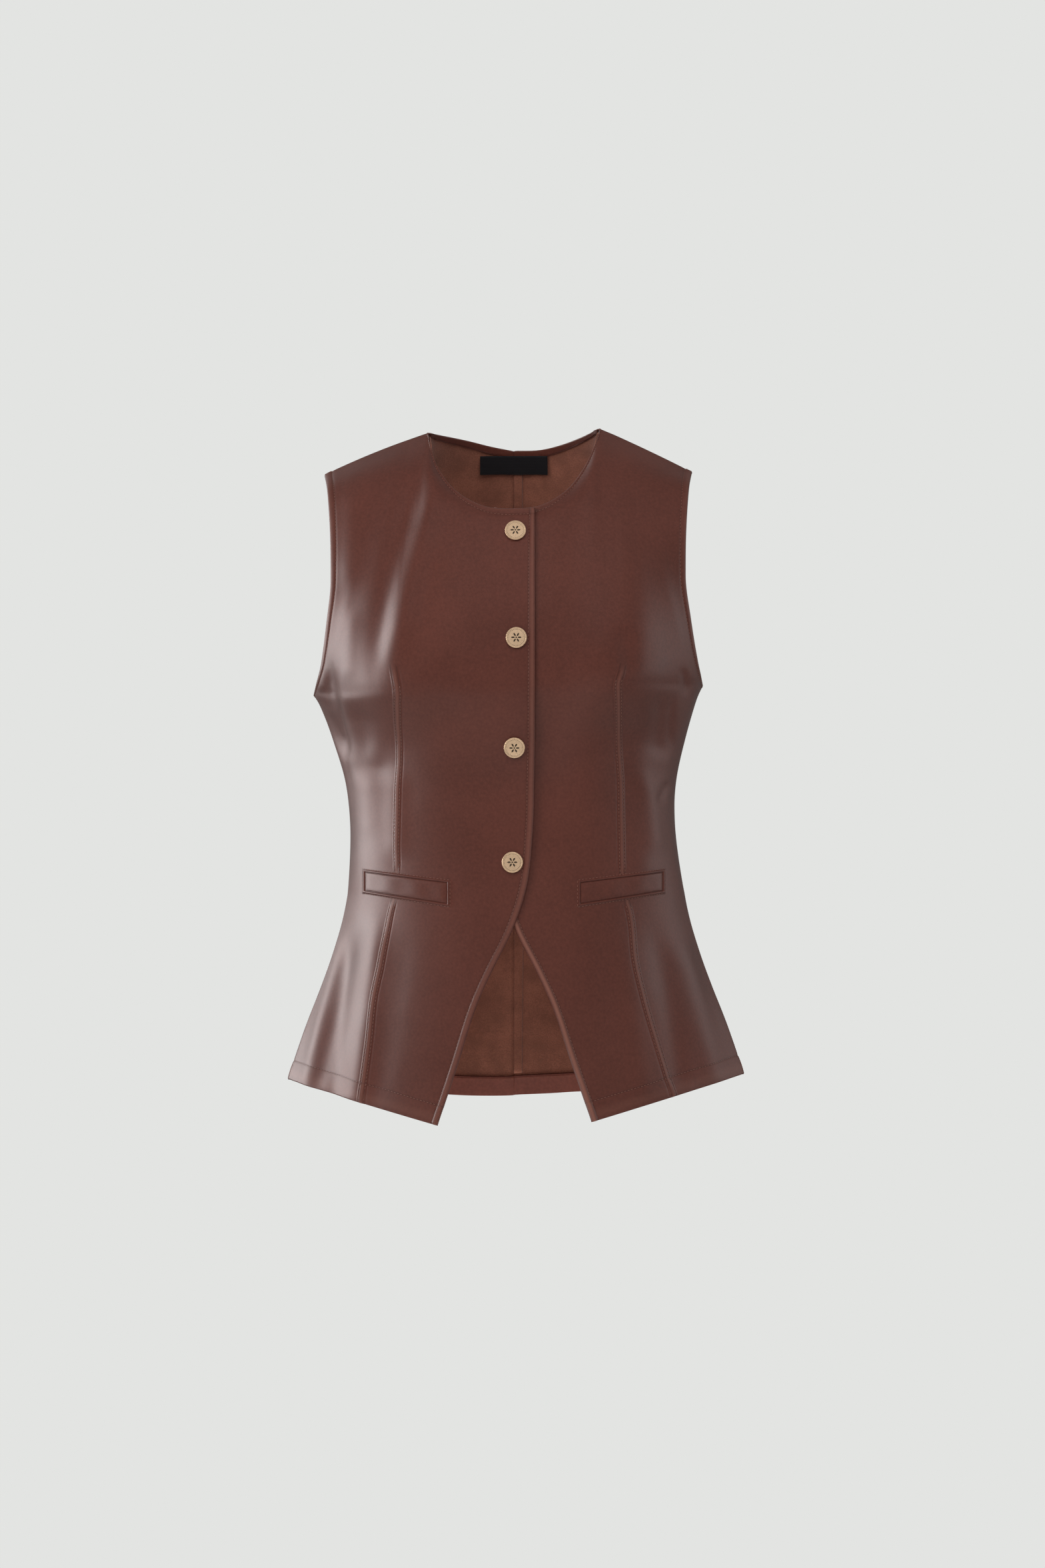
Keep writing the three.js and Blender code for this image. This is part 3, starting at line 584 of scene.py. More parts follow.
def edge_gaps(panel, row, place, points):
    """Distances in millimetres from each edge and seam of a panel, or far beside another one."""
    steps = np.linalg.norm(np.diff(points, axis=0), axis=2).cumsum(axis=0)
    hem = np.vstack([np.zeros(points.shape[1]), steps])
    top = hem[-1] - hem
    share, length = panel.share(row, place), panel.length(row)
    inner, outer = share * length, (1 - share) * length
    at_neck = place <= panel.columns["neck"]
    return {
        "armhole": np.where(row >= UNDERARM - 0.02, outer, FAR),
        "neckline": np.where(at_neck, top, FAR),
        "hem": hem,
        panel.inner_edge: inner,
        "side": np.where(row < UNDERARM, outer, FAR),
        "shoulder": np.where(at_neck, FAR, top),
    }


def seam_form(panel, row, place, gaps, sizes):
    """Heights of the small forms at edges and seams, and the nearest stitch line's distance."""
    height, stitch = np.zeros(row.shape), np.full(row.shape, FAR)
    for edge, (inset, plump) in EDGES.items():
        if edge in gaps:
            height += edge_form(gaps[edge], inset, plump, sizes)
            stitch = np.minimum(stitch, abs(gaps[edge] - inset))
    for seam in SEAMS:
        if seam in gaps:
            height -= SEAM_DIP * groove(gaps[seam], SEAM_SPREAD)
    if panel.front:
        height += lap_form(panel, row, place, sizes)
        offset = lap_offset(panel, row, place)
        on_lap = panel.surface(row, place)[..., 2] < LAP_TOP + LAP_FADE
        for line in LAP_STITCHES:
            stitch = np.where(on_lap, np.minimum(stitch, abs(offset - line)), stitch)
    return height, stitch


def edge_form(distance, inset, plump, sizes):
    """A turned edge: rounded, plump up to its stitches, and sunk under them."""
    puff = np.sin(np.pi * np.clip(distance / inset, 0, 1)) ** 0.8
    rounded = rolled(distance, sizes.edge_round * plump)
    return rounded + sizes.edge_puff * plump * puff - sizes.stitch_sink * groove(distance - inset, 0.95)


def lap_offset(panel, row, place):
    """Distance in millimetres from the middle of the dart seam."""
    c = panel.columns
    middle = panel.share(row, np.full_like(place, (c["lap_top"] + c["lap_end"]) / 2))
    return (panel.share(row, place) - middle) * panel.length(row)


def lap_form(panel, row, place, sizes):
    """The dart seam: a low ridge with two sunk rows of stitches and a crease along its inner side."""
    offset = lap_offset(panel, row, place)
    z = panel.surface(row, place)[..., 2]
    strength = ramp(-z, -LAP_TOP - LAP_FADE, -LAP_TOP)
    welt = (z > WELT["inner_bottom"] - 2) & (z < WELT["outer_top"] + 4)
    strength = np.where(welt, 0, strength)
    ridge = SEAM_RISE * ramp(offset, -3.9, -2.9) * (1 - ramp(offset, 2.9, 3.9))
    sunk = 1.4 * sum(groove(offset - line, 0.8) for line in LAP_STITCHES)
    crease = 0.3 * groove(offset + 3.7, 0.6)
    return strength * (ridge - sizes.stitch_sink * sunk - crease)


def directions(points):
    """Outward directions of a grid of points, rows by columns, before they are turned out."""
    across = np.gradient(points, axis=1)
    upright = np.gradient(points, axis=0)
    normal = np.cross(across, upright)
    return normal / np.maximum(np.linalg.norm(normal, axis=2, keepdims=True), 1e-12)


def grid_mesh(name, points, flip):
    """A sheet with one vertex for each point of a grid, from Blender's own grid."""
    rows, columns = points.shape[:2]
    bm = bmesh.new()
    bmesh.ops.create_grid(bm, x_segments=columns - 1, y_segments=rows - 1, size=1)
    order = []
    for vertex in bm.verts:
        c = round((vertex.co.x + 1) / 2 * (columns - 1))
        r = round((vertex.co.y + 1) / 2 * (rows - 1))
        order.append((r, c))
        vertex.co = points[r, c] * MM
    if flip:
        bmesh.ops.reverse_faces(bm, faces=bm.faces[:])
    mesh = bpy.data.meshes.new(name)
    bm.to_mesh(mesh)
    bm.free()
    mesh.polygons.foreach_set("use_smooth", [True] * len(mesh.polygons))
    return mesh, np.array(order)


def add_object(name, mesh):
    obj = bpy.data.objects.new(name, mesh)
    bpy.context.scene.collection.objects.link(obj)
    return obj


def set_attribute(mesh, name, values):
    layer = mesh.attributes.new(name, "FLOAT", "POINT")
    layer.data.foreach_set("value", np.asarray(values, np.float32).ravel())


def add_wall(obj, thickness, inside_slot=0, group=None):
    """Gives a sheet its thickness, inwards from its outer face."""
    wall = obj.modifiers.new("Wall", "SOLIDIFY")
    wall.thickness = thickness * MM
    wall.offset = -1
    wall.material_offset = inside_slot
    if group:
        wall.vertex_group = group
    return wall


def linear(value):
    return value / 12.92 if value <= 0.04045 else ((value + 0.055) / 1.055) ** 2.4


def colour(code):
    """An sRGB hex colour as linear red, green and blue."""
    return tuple(linear(int(code[k:k + 2], 16) / 255) for k in (1, 3, 5))


def add_node(tree, kind, inputs=None, **settings):
    """Adds a node. Settings are its properties, and its inputs take a value or another node's output."""
    node = tree.nodes.new(kind)
    for key, value in settings.items():
        setattr(node, key, value)
    feed(tree, node, inputs or {})
    return node


def feed(tree, node, inputs):
    """Gives a node's inputs their values and their links."""
    for key, value in inputs.items():
        if isinstance(value, bpy.types.NodeSocket):
            tree.links.new(value, node.inputs[key])
        else:
            node.inputs[key].default_value = value


def new_material(name):
    """A material with its nodes, its shader, and the piece's own coordinates for its patterns."""
    material = bpy.data.materials.new(name)
    material.use_nodes = True
    tree = material.node_tree
    coords = add_node(tree, "ShaderNodeTexCoord").outputs["Object"]
    return material, tree, tree.nodes["Principled BSDF"], coords


def shade(rgb, factor):
    """A darker or lighter shade of a colour."""
    return (*(min(channel * factor, 1) for channel in rgb), 1)


def make_leather(scene, name, painted_brightness):
    """Coated leather, drum-dyed and lightly glazed: a soft wide sheen and a fine grain.

    Leather is painted darker in the sunk stitch lines and round the welt strips: partly pressed leather,
    partly painted shade in these grooves. Edges and dart seams get a painted highlight. The grain's pits are
    half a millimetre wide on the real leather. They are drawn twice as coarse, because finer ones wouldn't
    show. A copy for the strips inside is painted lighter by a factor, as painted light where little light
    reaches.
    """
    colours, sizes = scene.vest_colours, scene.vest_sizes
    material, tree, shader, coords = new_material(name)
    cloud, slack, mottle = [
        add_node(tree, "ShaderNodeTexNoise", {"Vector": coords, **fineness}).outputs["Fac"]
        for fineness in ({"Scale": 14, "Detail": 3}, {"Scale": 30, "Detail": 2}, {"Scale": 420, "Detail": 2})
    ]
    grain = add_node(tree, "ShaderNodeTexVoronoi", {"Vector": coords, "Scale": 1 / (sizes.grain * MM)},
                     feature="SMOOTH_F1")
    both = add_node(tree, "ShaderNodeMath", {0: cloud, 1: mottle}, operation="ADD")
    dye = add_node(tree, "ShaderNodeMapRange", {"Value": both.outputs[0], "From Min": 0.7, "From Max": 1.3})
    # Random tone, all scaled by how much lighter this copy is painted: above 1 it is painted light
    dark, pale = shade(colours.leather, 0.84 * painted_brightness), shade(colours.leather, 1.16 * painted_brightness)
    tone = add_node(tree, "ShaderNodeMix", {0: dye.outputs["Result"], 6: dark, 7: pale}, data_type="RGBA")
    # Painted shade in the sunk stitch grooves and round the welt strips, partly pressed leather: darker
    # within a millimetre of them
    stitch = add_node(tree, "ShaderNodeAttribute", attribute_name="from_stitch").outputs["Fac"]
    groove_shade_share = add_node(tree, "ShaderNodeMapRange", {"Value": stitch, "To Min": 1, "To Max": 0})
    groove_shade = shade(colours.leather, 0.66 * painted_brightness)
    groove_shaded = add_node(tree, "ShaderNodeMix", {0: groove_shade_share.outputs["Result"], 6: tone.outputs[2], 7: groove_shade},
                       data_type="RGBA")
    # Painted highlight along edges and dart seams, mixed towards a pale thread colour
    highlight = add_node(tree, "ShaderNodeAttribute", attribute_name="edge_highlight").outputs["Fac"]
    highlighted = add_node(tree, "ShaderNodeMix", {0: highlight, 6: groove_shaded.outputs[2], 7: shade(colours.thread, 1.1)},
                      data_type="RGBA")
    rough = add_node(tree, "ShaderNodeMapRange", {"Value": cloud, "From Min": 0.3, "From Max": 0.7,
                                                  "To Min": 0.42, "To Max": 0.5})
    fine = add_node(tree, "ShaderNodeBump", {"Height": grain.outputs["Distance"], "Strength": 0.3,
                                             "Distance": 0.1 * MM})
    soft = add_node(tree, "ShaderNodeBump", {"Height": slack, "Normal": fine.outputs["Normal"],
                                             "Strength": 0.35, "Distance": 1.2 * MM})
    feed(tree, shader, {"Base Color": highlighted.outputs[2], "Roughness": rough.outputs["Result"],
                        "Normal": soft.outputs["Normal"], "Specular IOR Level": 0.36})
    return material


def make_backing(scene, name):
    """Brushed backing: short nap that scatters light and shows lighter and darker strokes."""
    material, tree, shader, coords = new_material(name)
    backing = scene.vest_colours.backing
    strokes, nap = [
        add_node(tree, "ShaderNodeTexNoise", {"Vector": coords, **fineness}).outputs["Fac"]
        for fineness in ({"Scale": 60, "Detail": 4}, {"Scale": 900, "Detail": 2})
    ]
    both = add_node(tree, "ShaderNodeMath", {0: strokes, 1: nap}, operation="MULTIPLY")
    share = add_node(tree, "ShaderNodeMapRange", {"Value": both.outputs[0],
                                                  "From Min": 0.15, "From Max": 0.38})
    tone = add_node(tree, "ShaderNodeMix", {0: share.outputs["Result"], 6: shade(backing, 0.82),
                                            7: shade(backing, 1.2)}, data_type="RGBA")
    bump = add_node(tree, "ShaderNodeBump", {"Height": nap, "Strength": 0.5, "Distance": 0.3 * MM})
    feed(tree, shader, {"Base Color": tone.outputs[2], "Normal": bump.outputs["Normal"], "Roughness": 0.95,
                        "Sheen Weight": 0.25, "Sheen Roughness": 0.5, "Specular IOR Level": 0.2})
    return material


def make_thread(scene, name):
    """Polyester sewing thread, twisted: a dull satin with fine turns."""
    material, tree, shader, coords = new_material(name)
    thread = scene.vest_colours.thread
    turns = add_node(tree, "ShaderNodeTexNoise", {"Vector": coords, "Scale": 2600, "Detail": 1})
    tone = add_node(tree, "ShaderNodeMix", {0: turns.outputs["Fac"], 6: shade(thread, 0.75),
                                            7: shade(thread, 1.3)}, data_type="RGBA")
    feed(tree, shader, {"Base Color": tone.outputs[2], "Roughness": 0.6})
    return material


def make_metal(scene, name, depth, roughness):
    """Brass with a satin plating: warm and pale, scattering as much light as it mirrors, with faint wear."""
    material, tree, shader, coords = new_material(name)
    metal = [channel * depth for channel in scene.vest_colours.metal]
    wear = add_node(tree, "ShaderNodeTexNoise", {"Vector": coords, "Scale": 420, "Detail": 3}).outputs["Fac"]
    tone = add_node(tree, "ShaderNodeMix", {0: wear, 6: shade(metal, 0.86), 7: shade(metal, 1.1)},
                    data_type="RGBA")
    rough = add_node(tree, "ShaderNodeMapRange", {"Value": wear, "From Min": 0.3, "From Max": 0.7,
                                                  "To Min": roughness, "To Max": roughness + 0.12})
    feed(tree, shader, {"Base Color": tone.outputs[2], "Roughness": rough.outputs["Result"],
                        "Metallic": 0.55})
    return material


def make_label(scene, name):
    """Woven satin tape: black, with fine threads half a millimetre apart that catch a dull light."""
    material, tree, shader, coords = new_material(name)
    label = scene.vest_colours.label
    weft = add_node(tree, "ShaderNodeTexWave", {"Vector": coords, "Scale": 1 / (0.5 * MM) / 6.28,
                                                "Distortion": 0.4}, wave_type="BANDS", bands_direction="Z")
    tone = add_node(tree, "ShaderNodeMix", {0: weft.outputs["Fac"], 6: shade(label, 0.7),
                                            7: shade(label, 1.6)}, data_type="RGBA")
    bump = add_node(tree, "ShaderNodeBump", {"Height": weft.outputs["Fac"], "Strength": 0.4,
                                             "Distance": 0.1 * MM})
    feed(tree, shader, {"Base Color": tone.outputs[2], "Normal": bump.outputs["Normal"], "Roughness": 0.55})
    return material


# Each finish, its maker, and what the maker is told: how much lighter a leather copy is painted, or a
# metal's depth and roughness
FINISHES = {
    "Glazed leather": (make_leather, 1.0),
    # The inside strips' copy of the leather, painted lighter as painted light where little light reaches
    "Turned-up leather": (make_leather, 2.1),
    "Brushed suede backing": (make_backing,),
    "Twisted polyester thread": (make_thread,),
    "Plated brass": (make_metal, 1.0, 0.24),
    "Darkened brass": (make_metal, 0.09, 0.5),
    "Woven satin tape": (make_label,),
}


def finish_for(context, name):
    """A finish by name, made once."""
    maker, *details = FINISHES[name]
    return bpy.data.materials.get(name) or maker(context.scene, name, *details)


def dress(obj, node, slot, *materials):
    """Gives a piece its materials and its body, and hides the frame's part for the node that it stands for.
    """
    for material in materials:
        obj.data.materials.append(material)
    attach(obj, BODY)
    if node:
        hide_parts(node)


def into_seams(panel, normals, row, place):
    """Outward directions kept in the seam's own plane along a seam, so that two panels meet there."""
    side = (place >= panel.last - 1e-6) & (row <= UNDERARM + 1e-6)
    shoulder = (row >= panel.top - 1e-6) & (place >= panel.columns["neck"])
    normals = normals.copy()
    normals[..., 1] = np.where(side | shoulder, 0, normals[..., 1])
    if not panel.front:
        normals[..., 0] = np.where(place <= 1e-6, 0, normals[..., 0])
    size = np.linalg.norm(normals, axis=-1, keepdims=True)
    return normals / (size * np.maximum(size, 0.6))


def turned_gap(panel, gaps):
    """Distance from the nearest turned edge, with the hem's wider turn counted as an edge's."""
    edges = [gaps["armhole"], gaps["hem"] * EDGE_TURN / HEM_TURN, gaps["neckline"]]
    if panel.front:
        edges.append(gaps[panel.inner_edge])
    return np.minimum.reduce(edges)


def edge_highlights(panel, row, place, points, gaps):
    """Painted highlight: how much paler the leather is painted along its edges and down its dart seam."""
    highlight = EDGE_HIGHLIGHT["others"] * groove(turned_gap(panel, gaps) - EDGE_HIGHLIGHT["inset"], EDGE_HIGHLIGHT["spread"])
    if not panel.front:
        return highlight
    edge = groove(gaps[panel.inner_edge] - EDGE_HIGHLIGHT["inset"], EDGE_HIGHLIGHT["spread"])
    on_lap = ramp(-points[..., 2], -LAP_TOP - LAP_FADE, -LAP_TOP)
    dart = on_lap * groove(lap_offset(panel, row, place), EDGE_HIGHLIGHT["dart spread"])
    return np.maximum.reduce([highlight, EDGE_HIGHLIGHT[panel.inner_edge] * edge, EDGE_HIGHLIGHT["dart"] * dart])


def wall_share(panel, gaps):
    """Share of the thickest wall: doubled along a front's turned edges, thin where two panels meet."""
    turned = 1 - ramp(turned_gap(panel, gaps), EDGE_TURN - 1, EDGE_TURN + 1.5) if panel.front else 0
    seam = np.minimum.reduce([gaps[key] for key in SEAMS if key in gaps])
    return mix(SEAM_THIN, 1, ramp(seam, 0, SEAM_THINNED)) * mix(LEATHER, TURNED, turned) / TURNED


def panel_points(panel, sizes):
    """The fine grid of a panel with its seam forms, and what its material and its wall read."""
    places = place_lines(panel)
    rows, _ = panel.rows_at(places, HEM_LINES, EDGE_LINES[:-1] + [10], BODY_ROWS)
    place = np.broadcast_to(places, rows.shape)
    points = panel.surface(rows, place)
    gaps = edge_gaps(panel, rows, place, points)
    height, stitch = seam_form(panel, rows, place, gaps, sizes)
    normals = into_seams(panel, panel.turned_out(directions(points)), rows, place)
    points = points + normals * height[..., None]
    return points, stitch, edge_highlights(panel, rows, place, points, gaps), wall_share(panel, gaps)


def flips(panel):
    return panel.sign * panel.facing > 0


def add_strip(node, panel, rows, place, gap, rounding, material, slot="leather"):
    """A strip sewn inside a panel, which follows its inner face."""
    points = panel.surface(rows, place)
    normals = into_seams(panel, panel.turned_out(directions(points)), rows, place)
    points = points - normals * (LEATHER + gap - rounding)[..., None]
    mesh, _ = grid_mesh(f"{node}_strip", points, flips(panel))
    set_attribute(mesh, "from_stitch", np.full(len(mesh.vertices), 9.0))
    obj = add_object(mesh.name, mesh)
    add_wall(obj, FACING)
    dress(obj, node, slot, material)


class VestSizes(bpy.types.PropertyGroup):
    """Sizes in millimetres that a user may change."""

    stitch_length: bpy.props.FloatProperty(
        name="Stitch", description="Length of one stitch, mm", default=3.1)
    thread: bpy.props.FloatProperty(name="Thread", description="Thickness of the thread, mm", default=0.42)
    stitch_sink: bpy.props.FloatProperty(name="Sink", description="How far stitches sink, mm", default=0.24)
    edge_round: bpy.props.FloatProperty(
        name="Edge rounding", description="Radius of an edge, mm", default=1.1)
    edge_puff: bpy.props.FloatProperty(name="Edge puff", description="Rise beside an edge, mm", default=0.45)
    grain: bpy.props.FloatProperty(name="Grain", description="Width of the leather's grain, mm", default=1.0)


class VestColours(bpy.types.PropertyGroup):
    """Colours that a user may change."""

    leather: bpy.props.FloatVectorProperty(
        name="Leather", description="Outside of the vest", subtype="COLOR", default=colour("#5A3027"))
    backing: bpy.props.FloatVectorProperty(
        name="Backing", description="Brushed inside", subtype="COLOR", default=colour("#875443"))
    thread: bpy.props.FloatVectorProperty(
        name="Thread", description="Sewing thread", subtype="COLOR", default=colour("#85584B"))
    metal: bpy.props.FloatVectorProperty(
        name="Caps", description="Plated snap caps", subtype="COLOR", default=colour("#F0CBA6"))
    label: bpy.props.FloatVectorProperty(
        name="Label", description="Neck label", subtype="COLOR", default=colour("#151417"))
    studio: bpy.props.FloatVectorProperty(
        name="Studio", description="Floor and background", subtype="COLOR", default=colour("#E3E4E2"))


# The photograph's frame and where the vest stands in it
IMAGE_SIZE = (1568, 2352)
MM_PER_PIXEL = 0.575
ORIGIN_PIXEL = (771, 680)
CAMERA_DISTANCE = 7.0
SENSOR = 36.0

# Soft lights: place, what each is aimed at, size, power in watts, and whether it gives light and sheen.
# Sheen comes from tall panels at the sides alone, so the front keeps its deep colour.
LIGHTS = [
    ("Sheen panel, wearer's right", (-2.95, 0.5, 0.1), (-0.1, 0, -0.27), (1.9, 2.6), 172, False, True),
    ("Sheen panel, wearer's left", (2.95, 0.4, 0.2), (0.1, 0, -0.3), (2.0, 2.5), 24, False, True),
    ("Key, wearer's right", (-2.0, -2.2, 0.9), (0, 0, -0.27), (1.6, 1.6), 36, True, False),
    ("High front", (0.5, -2.6, 2.2), (0, 0, -0.3), (2.0, 2.0), 46, True, False),
    ("Low front", (0.0, -2.6, -1.9), (0, 0, -0.35), (1.6, 1.0), 14, True, False),
    ("Inside, from below", (0.0, -0.05, -1.0), (0, 0.1, -0.5), (0.35, 0.25), 1.1, True, False),
    ("Back", (0.3, 3.0, 1.2), (0, 0, -0.25), (2.0, 2.0), 40, True, False),
    ("Back sheen", (-2.0, 2.2, 0.9), (0, 0, -0.25), (1.0, 2.2), 20, False, True),
]
# How strongly the pale world is seen, mirrored, and lights the vest
WORLD = dict(seen=1.0, sheen=0.33, light=0.4)
FLOOR_DROP = 0.54
FLOOR_RADIUS = 1.12


class VEST_OT_stage(bpy.types.Operator):
    """Camera at the photograph's angle, soft lights, a pale floor and a pale world"""

    bl_idname = "vest.stage"
    bl_label = "Stage"

    def execute(self, context):
        scene = context.scene
        scene.view_settings.view_transform = "Standard"
        self.add_camera(scene)
        for light in LIGHTS:
            self.add_light(scene, *light)
        self.add_world(scene)
        self.add_floor(context)
        return {"FINISHED"}

    def add_camera(self, scene):
        data = bpy.data.cameras.new("Camera")
        camera = bpy.data.objects.new("Camera", data)
        scene.collection.objects.link(camera)
        data.sensor_width = SENSOR
        data.lens = SENSOR * CAMERA_DISTANCE / (IMAGE_SIZE[1] * MM_PER_PIXEL * MM)
        x = (IMAGE_SIZE[0] / 2 - ORIGIN_PIXEL[0]) * MM_PER_PIXEL * MM
        z = (ORIGIN_PIXEL[1] - IMAGE_SIZE[1] / 2) * MM_PER_PIXEL * MM
        camera.location = (x, -CAMERA_DISTANCE, z)
        camera.rotation_euler = (math.pi / 2, 0, 0)
        scene.camera = camera

    def add_light(self, scene, name, place, target, size, power, gives_light, gives_sheen):
        data = bpy.data.lights.new(name, "AREA")
        data.shape = "RECTANGLE"
        data.size, data.size_y = size
        data.energy = power
        light = bpy.data.objects.new(name, data)
        light.location = place
        light.rotation_euler = (Vector(target) - Vector(place)).to_track_quat("-Z", "Y").to_euler()
        light.visible_diffuse = gives_light
        light.visible_glossy = gives_sheen
        light.visible_camera = False
        scene.collection.objects.link(light)

    def add_world(self, scene):
        """The background keeps the photograph's pale grey, and lights the vest more weakly."""
        world = bpy.data.worlds.new("Studio")
        scene.world = world
        world.use_nodes = True
        tree = world.node_tree
        tree.nodes.clear()
        grey = shade(scene.vest_colours.studio, 1)
        seen, sheen, light = [
            add_node(tree, "ShaderNodeBackground", {"Color": grey, "Strength": strength}).outputs[0]
            for strength in (WORLD["seen"], WORLD["sheen"], WORLD["light"])
        ]
        rays = add_node(tree, "ShaderNodeLightPath").outputs
        lit = add_node(tree, "ShaderNodeMixShader", {0: rays["Is Glossy Ray"], 1: light, 2: sheen})
        both = add_node(tree, "ShaderNodeMixShader", {0: rays["Is Camera Ray"], 1: lit.outputs[0], 2: seen})
        add_node(tree, "ShaderNodeOutputWorld", {"Surface": both.outputs[0]})

    def add_floor(self, context):
        bm = bmesh.new()
        bmesh.ops.create_circle(bm, cap_ends=True, segments=96, radius=FLOOR_RADIUS)
        bmesh.ops.translate(bm, verts=bm.verts, vec=(0, 0, CAD_LOW.z - FLOOR_DROP))
        mesh = bpy.data.meshes.new("Floor")
        bm.to_mesh(mesh)
        bm.free()
        floor = add_object("Floor", mesh)
        material, tree, shader, coords = new_material("Pale matt floor")
        dust = add_node(tree, "ShaderNodeTexNoise", {"Vector": coords, "Scale": 9}).outputs["Fac"]
        grey = context.scene.vest_colours.studio
        tone = add_node(tree, "ShaderNodeMix", {0: dust, 6: shade(grey, 0.98), 7: shade(grey, 1.02)},
                        data_type="RGBA")
        feed(tree, shader, {"Base Color": tone.outputs[2], "Roughness": 0.9})
        mesh.materials.append(material)


class VEST_OT_panels(bpy.types.Operator):
    """The two fronts and the two back panels"""

    bl_idname = "vest.panels"
    bl_label = "Panels"

    def execute(self, context):
        sizes = context.scene.vest_sizes
        leather = finish_for(context, "Glazed leather")
        backing = finish_for(context, "Brushed suede backing")
        for name, panel in PANELS.items():
            points, stitch, highlight, wall = panel_points(panel, sizes)
            mesh, order = grid_mesh(f"{name}_leather", points, flips(panel))
            set_attribute(mesh, "from_stitch", stitch[order[:, 0], order[:, 1]])
            # Painted highlight along the edges and down the dart seam
            set_attribute(mesh, "edge_highlight", highlight[order[:, 0], order[:, 1]])
            obj = add_object(f"{name}_leather", mesh)
            group = obj.vertex_groups.new(name="Wall")
            weights = np.round(wall[order[:, 0], order[:, 1]], 2)
            for weight in np.unique(weights):
                group.add(np.flatnonzero(weights == weight).tolist(), float(weight), "REPLACE")
            add_wall(obj, TURNED, 1, "Wall")
            dress(obj, name, "leather", leather, backing)
        return {"FINISHED"}


class VEST_OT_facings(bpy.types.Operator):
    """Strips inside: armhole and neck facings, turned-up back hems, centre back allowance"""

    bl_idname = "vest.facings"
    bl_label = "Facings"

    def execute(self, context):
        leather = finish_for(context, "Glazed leather")
        for panel in PANELS.values():
            self.armhole(panel, leather)
            if not panel.front:
                # The turned-up hems take the leather copy that is painted lighter
                self.hem(panel, finish_for(context, "Turned-up leather"))
                self.neck(panel, leather)
        self.allowance(PANELS["back_left"], finish_for(context, "Brushed suede backing"))
        return {"FINISHED"}

    def armhole(self, panel, leather):
        across = np.array([0, 0.1, 0.3, 0.5, 0.7, 0.9, 1])
        rows = np.linspace(UNDERARM, panel.top, 120)
        row, place = np.meshgrid(rows, panel.columns["faced"] + across, indexing="ij")
        rounding = np.broadcast_to(rolled(across * ARMHOLE_FACING, STRIP_ROUND), row.shape)
        add_strip(f"armhole_facing_{panel.name}", panel, row, place, GAP, rounding, leather)

    def hem(self, panel, leather):
        places = np.linspace(0, panel.last, 90)
        distances = [0, 0.4, 1.2, 3, 6, 9, 12, 14.5, 16, 16.6, HEM_TURN]
        rows = panel.rows_at(places, distances, [0], 0)[0][:-1]
        place = np.broadcast_to(places, rows.shape)
        from_fold = np.broadcast_to(np.array(distances)[:, None], rows.shape)
        rounding = rolled(HEM_TURN - from_fold, STRIP_ROUND) - 0.25 * groove(from_fold - HEM_TURN + 1.6, 0.7)
        add_strip(f"back_hem_turn_{panel.side}", panel, rows, place, BAND_GAP, rounding, leather)

    def neck(self, panel, leather):
        places = np.linspace(0, panel.columns["neck"], 60)
        distances = [NECK_FACING, 6.6, 6, 4.8, 3.4, 2, 0.8, 0]
        rows = panel.rows_at(places, [0], distances[::-1], 0)[0][1:]
        place = np.broadcast_to(places, rows.shape)
        from_top = np.broadcast_to(np.array(distances)[:, None], rows.shape)
        rounding = rolled(NECK_FACING - from_top, STRIP_ROUND)
        add_strip(f"back_neck_facing_{panel.side}", panel, rows, place, BAND_GAP, rounding, leather)

    def allowance(self, panel, backing):
        places = np.array([0, 0.1, 0.3, 0.5, 0.7, 0.85, 0.94, 1])
        rows = panel.rows_at(places, [0, HEM_TURN + 2], [0, NECK_FACING + 2], 180)[0][1:-1]
        place = np.broadcast_to(places, rows.shape)
        rounding = rolled((1 - place) * EDGE_TURN, 0.5)
        add_strip("centre_back_allowance", panel, rows, place, GAP, rounding, backing, "backing")


def find_places(panel, x, z):
    """Rows and places of the outer face under points given from the centre."""
    x, z = np.broadcast_arrays(np.asarray(x, float), np.asarray(z, float))
    row = np.full(x.shape, panel.top / 2)
    place = np.full(x.shape, panel.last / 2)
    for _ in range(7):
        place = halve(0, panel.last, x.shape, lambda v: panel.sign * panel.surface(row, v)[..., 0] > x)
        row = halve(0, panel.top, x.shape, lambda v: panel.surface(v, place)[..., 2] > z)
    return row, place


def halve(start, end, shape, is_beyond):
    low, high = np.full(shape, float(start)), np.full(shape, float(end))
    for _ in range(18):
        middle = (low + high) / 2
        beyond = is_beyond(middle)
        high = np.where(beyond, middle, high)
        low = np.where(beyond, low, middle)
    return (low + high) / 2


def welt_place(across, down, margin=0.0):
    """A place on a welt's own slanted oblong, grown by a margin in millimetres."""
    x = mix(WELT["inner_x"] - margin, WELT["outer_x"] + margin, across)
    share = (x - WELT["inner_x"]) / (WELT["outer_x"] - WELT["inner_x"])
    top = mix(WELT["inner_top"], WELT["outer_top"], share) + margin
    bottom = mix(WELT["inner_bottom"], WELT["outer_bottom"], share) - margin
    return x, mix(bottom, top, down)


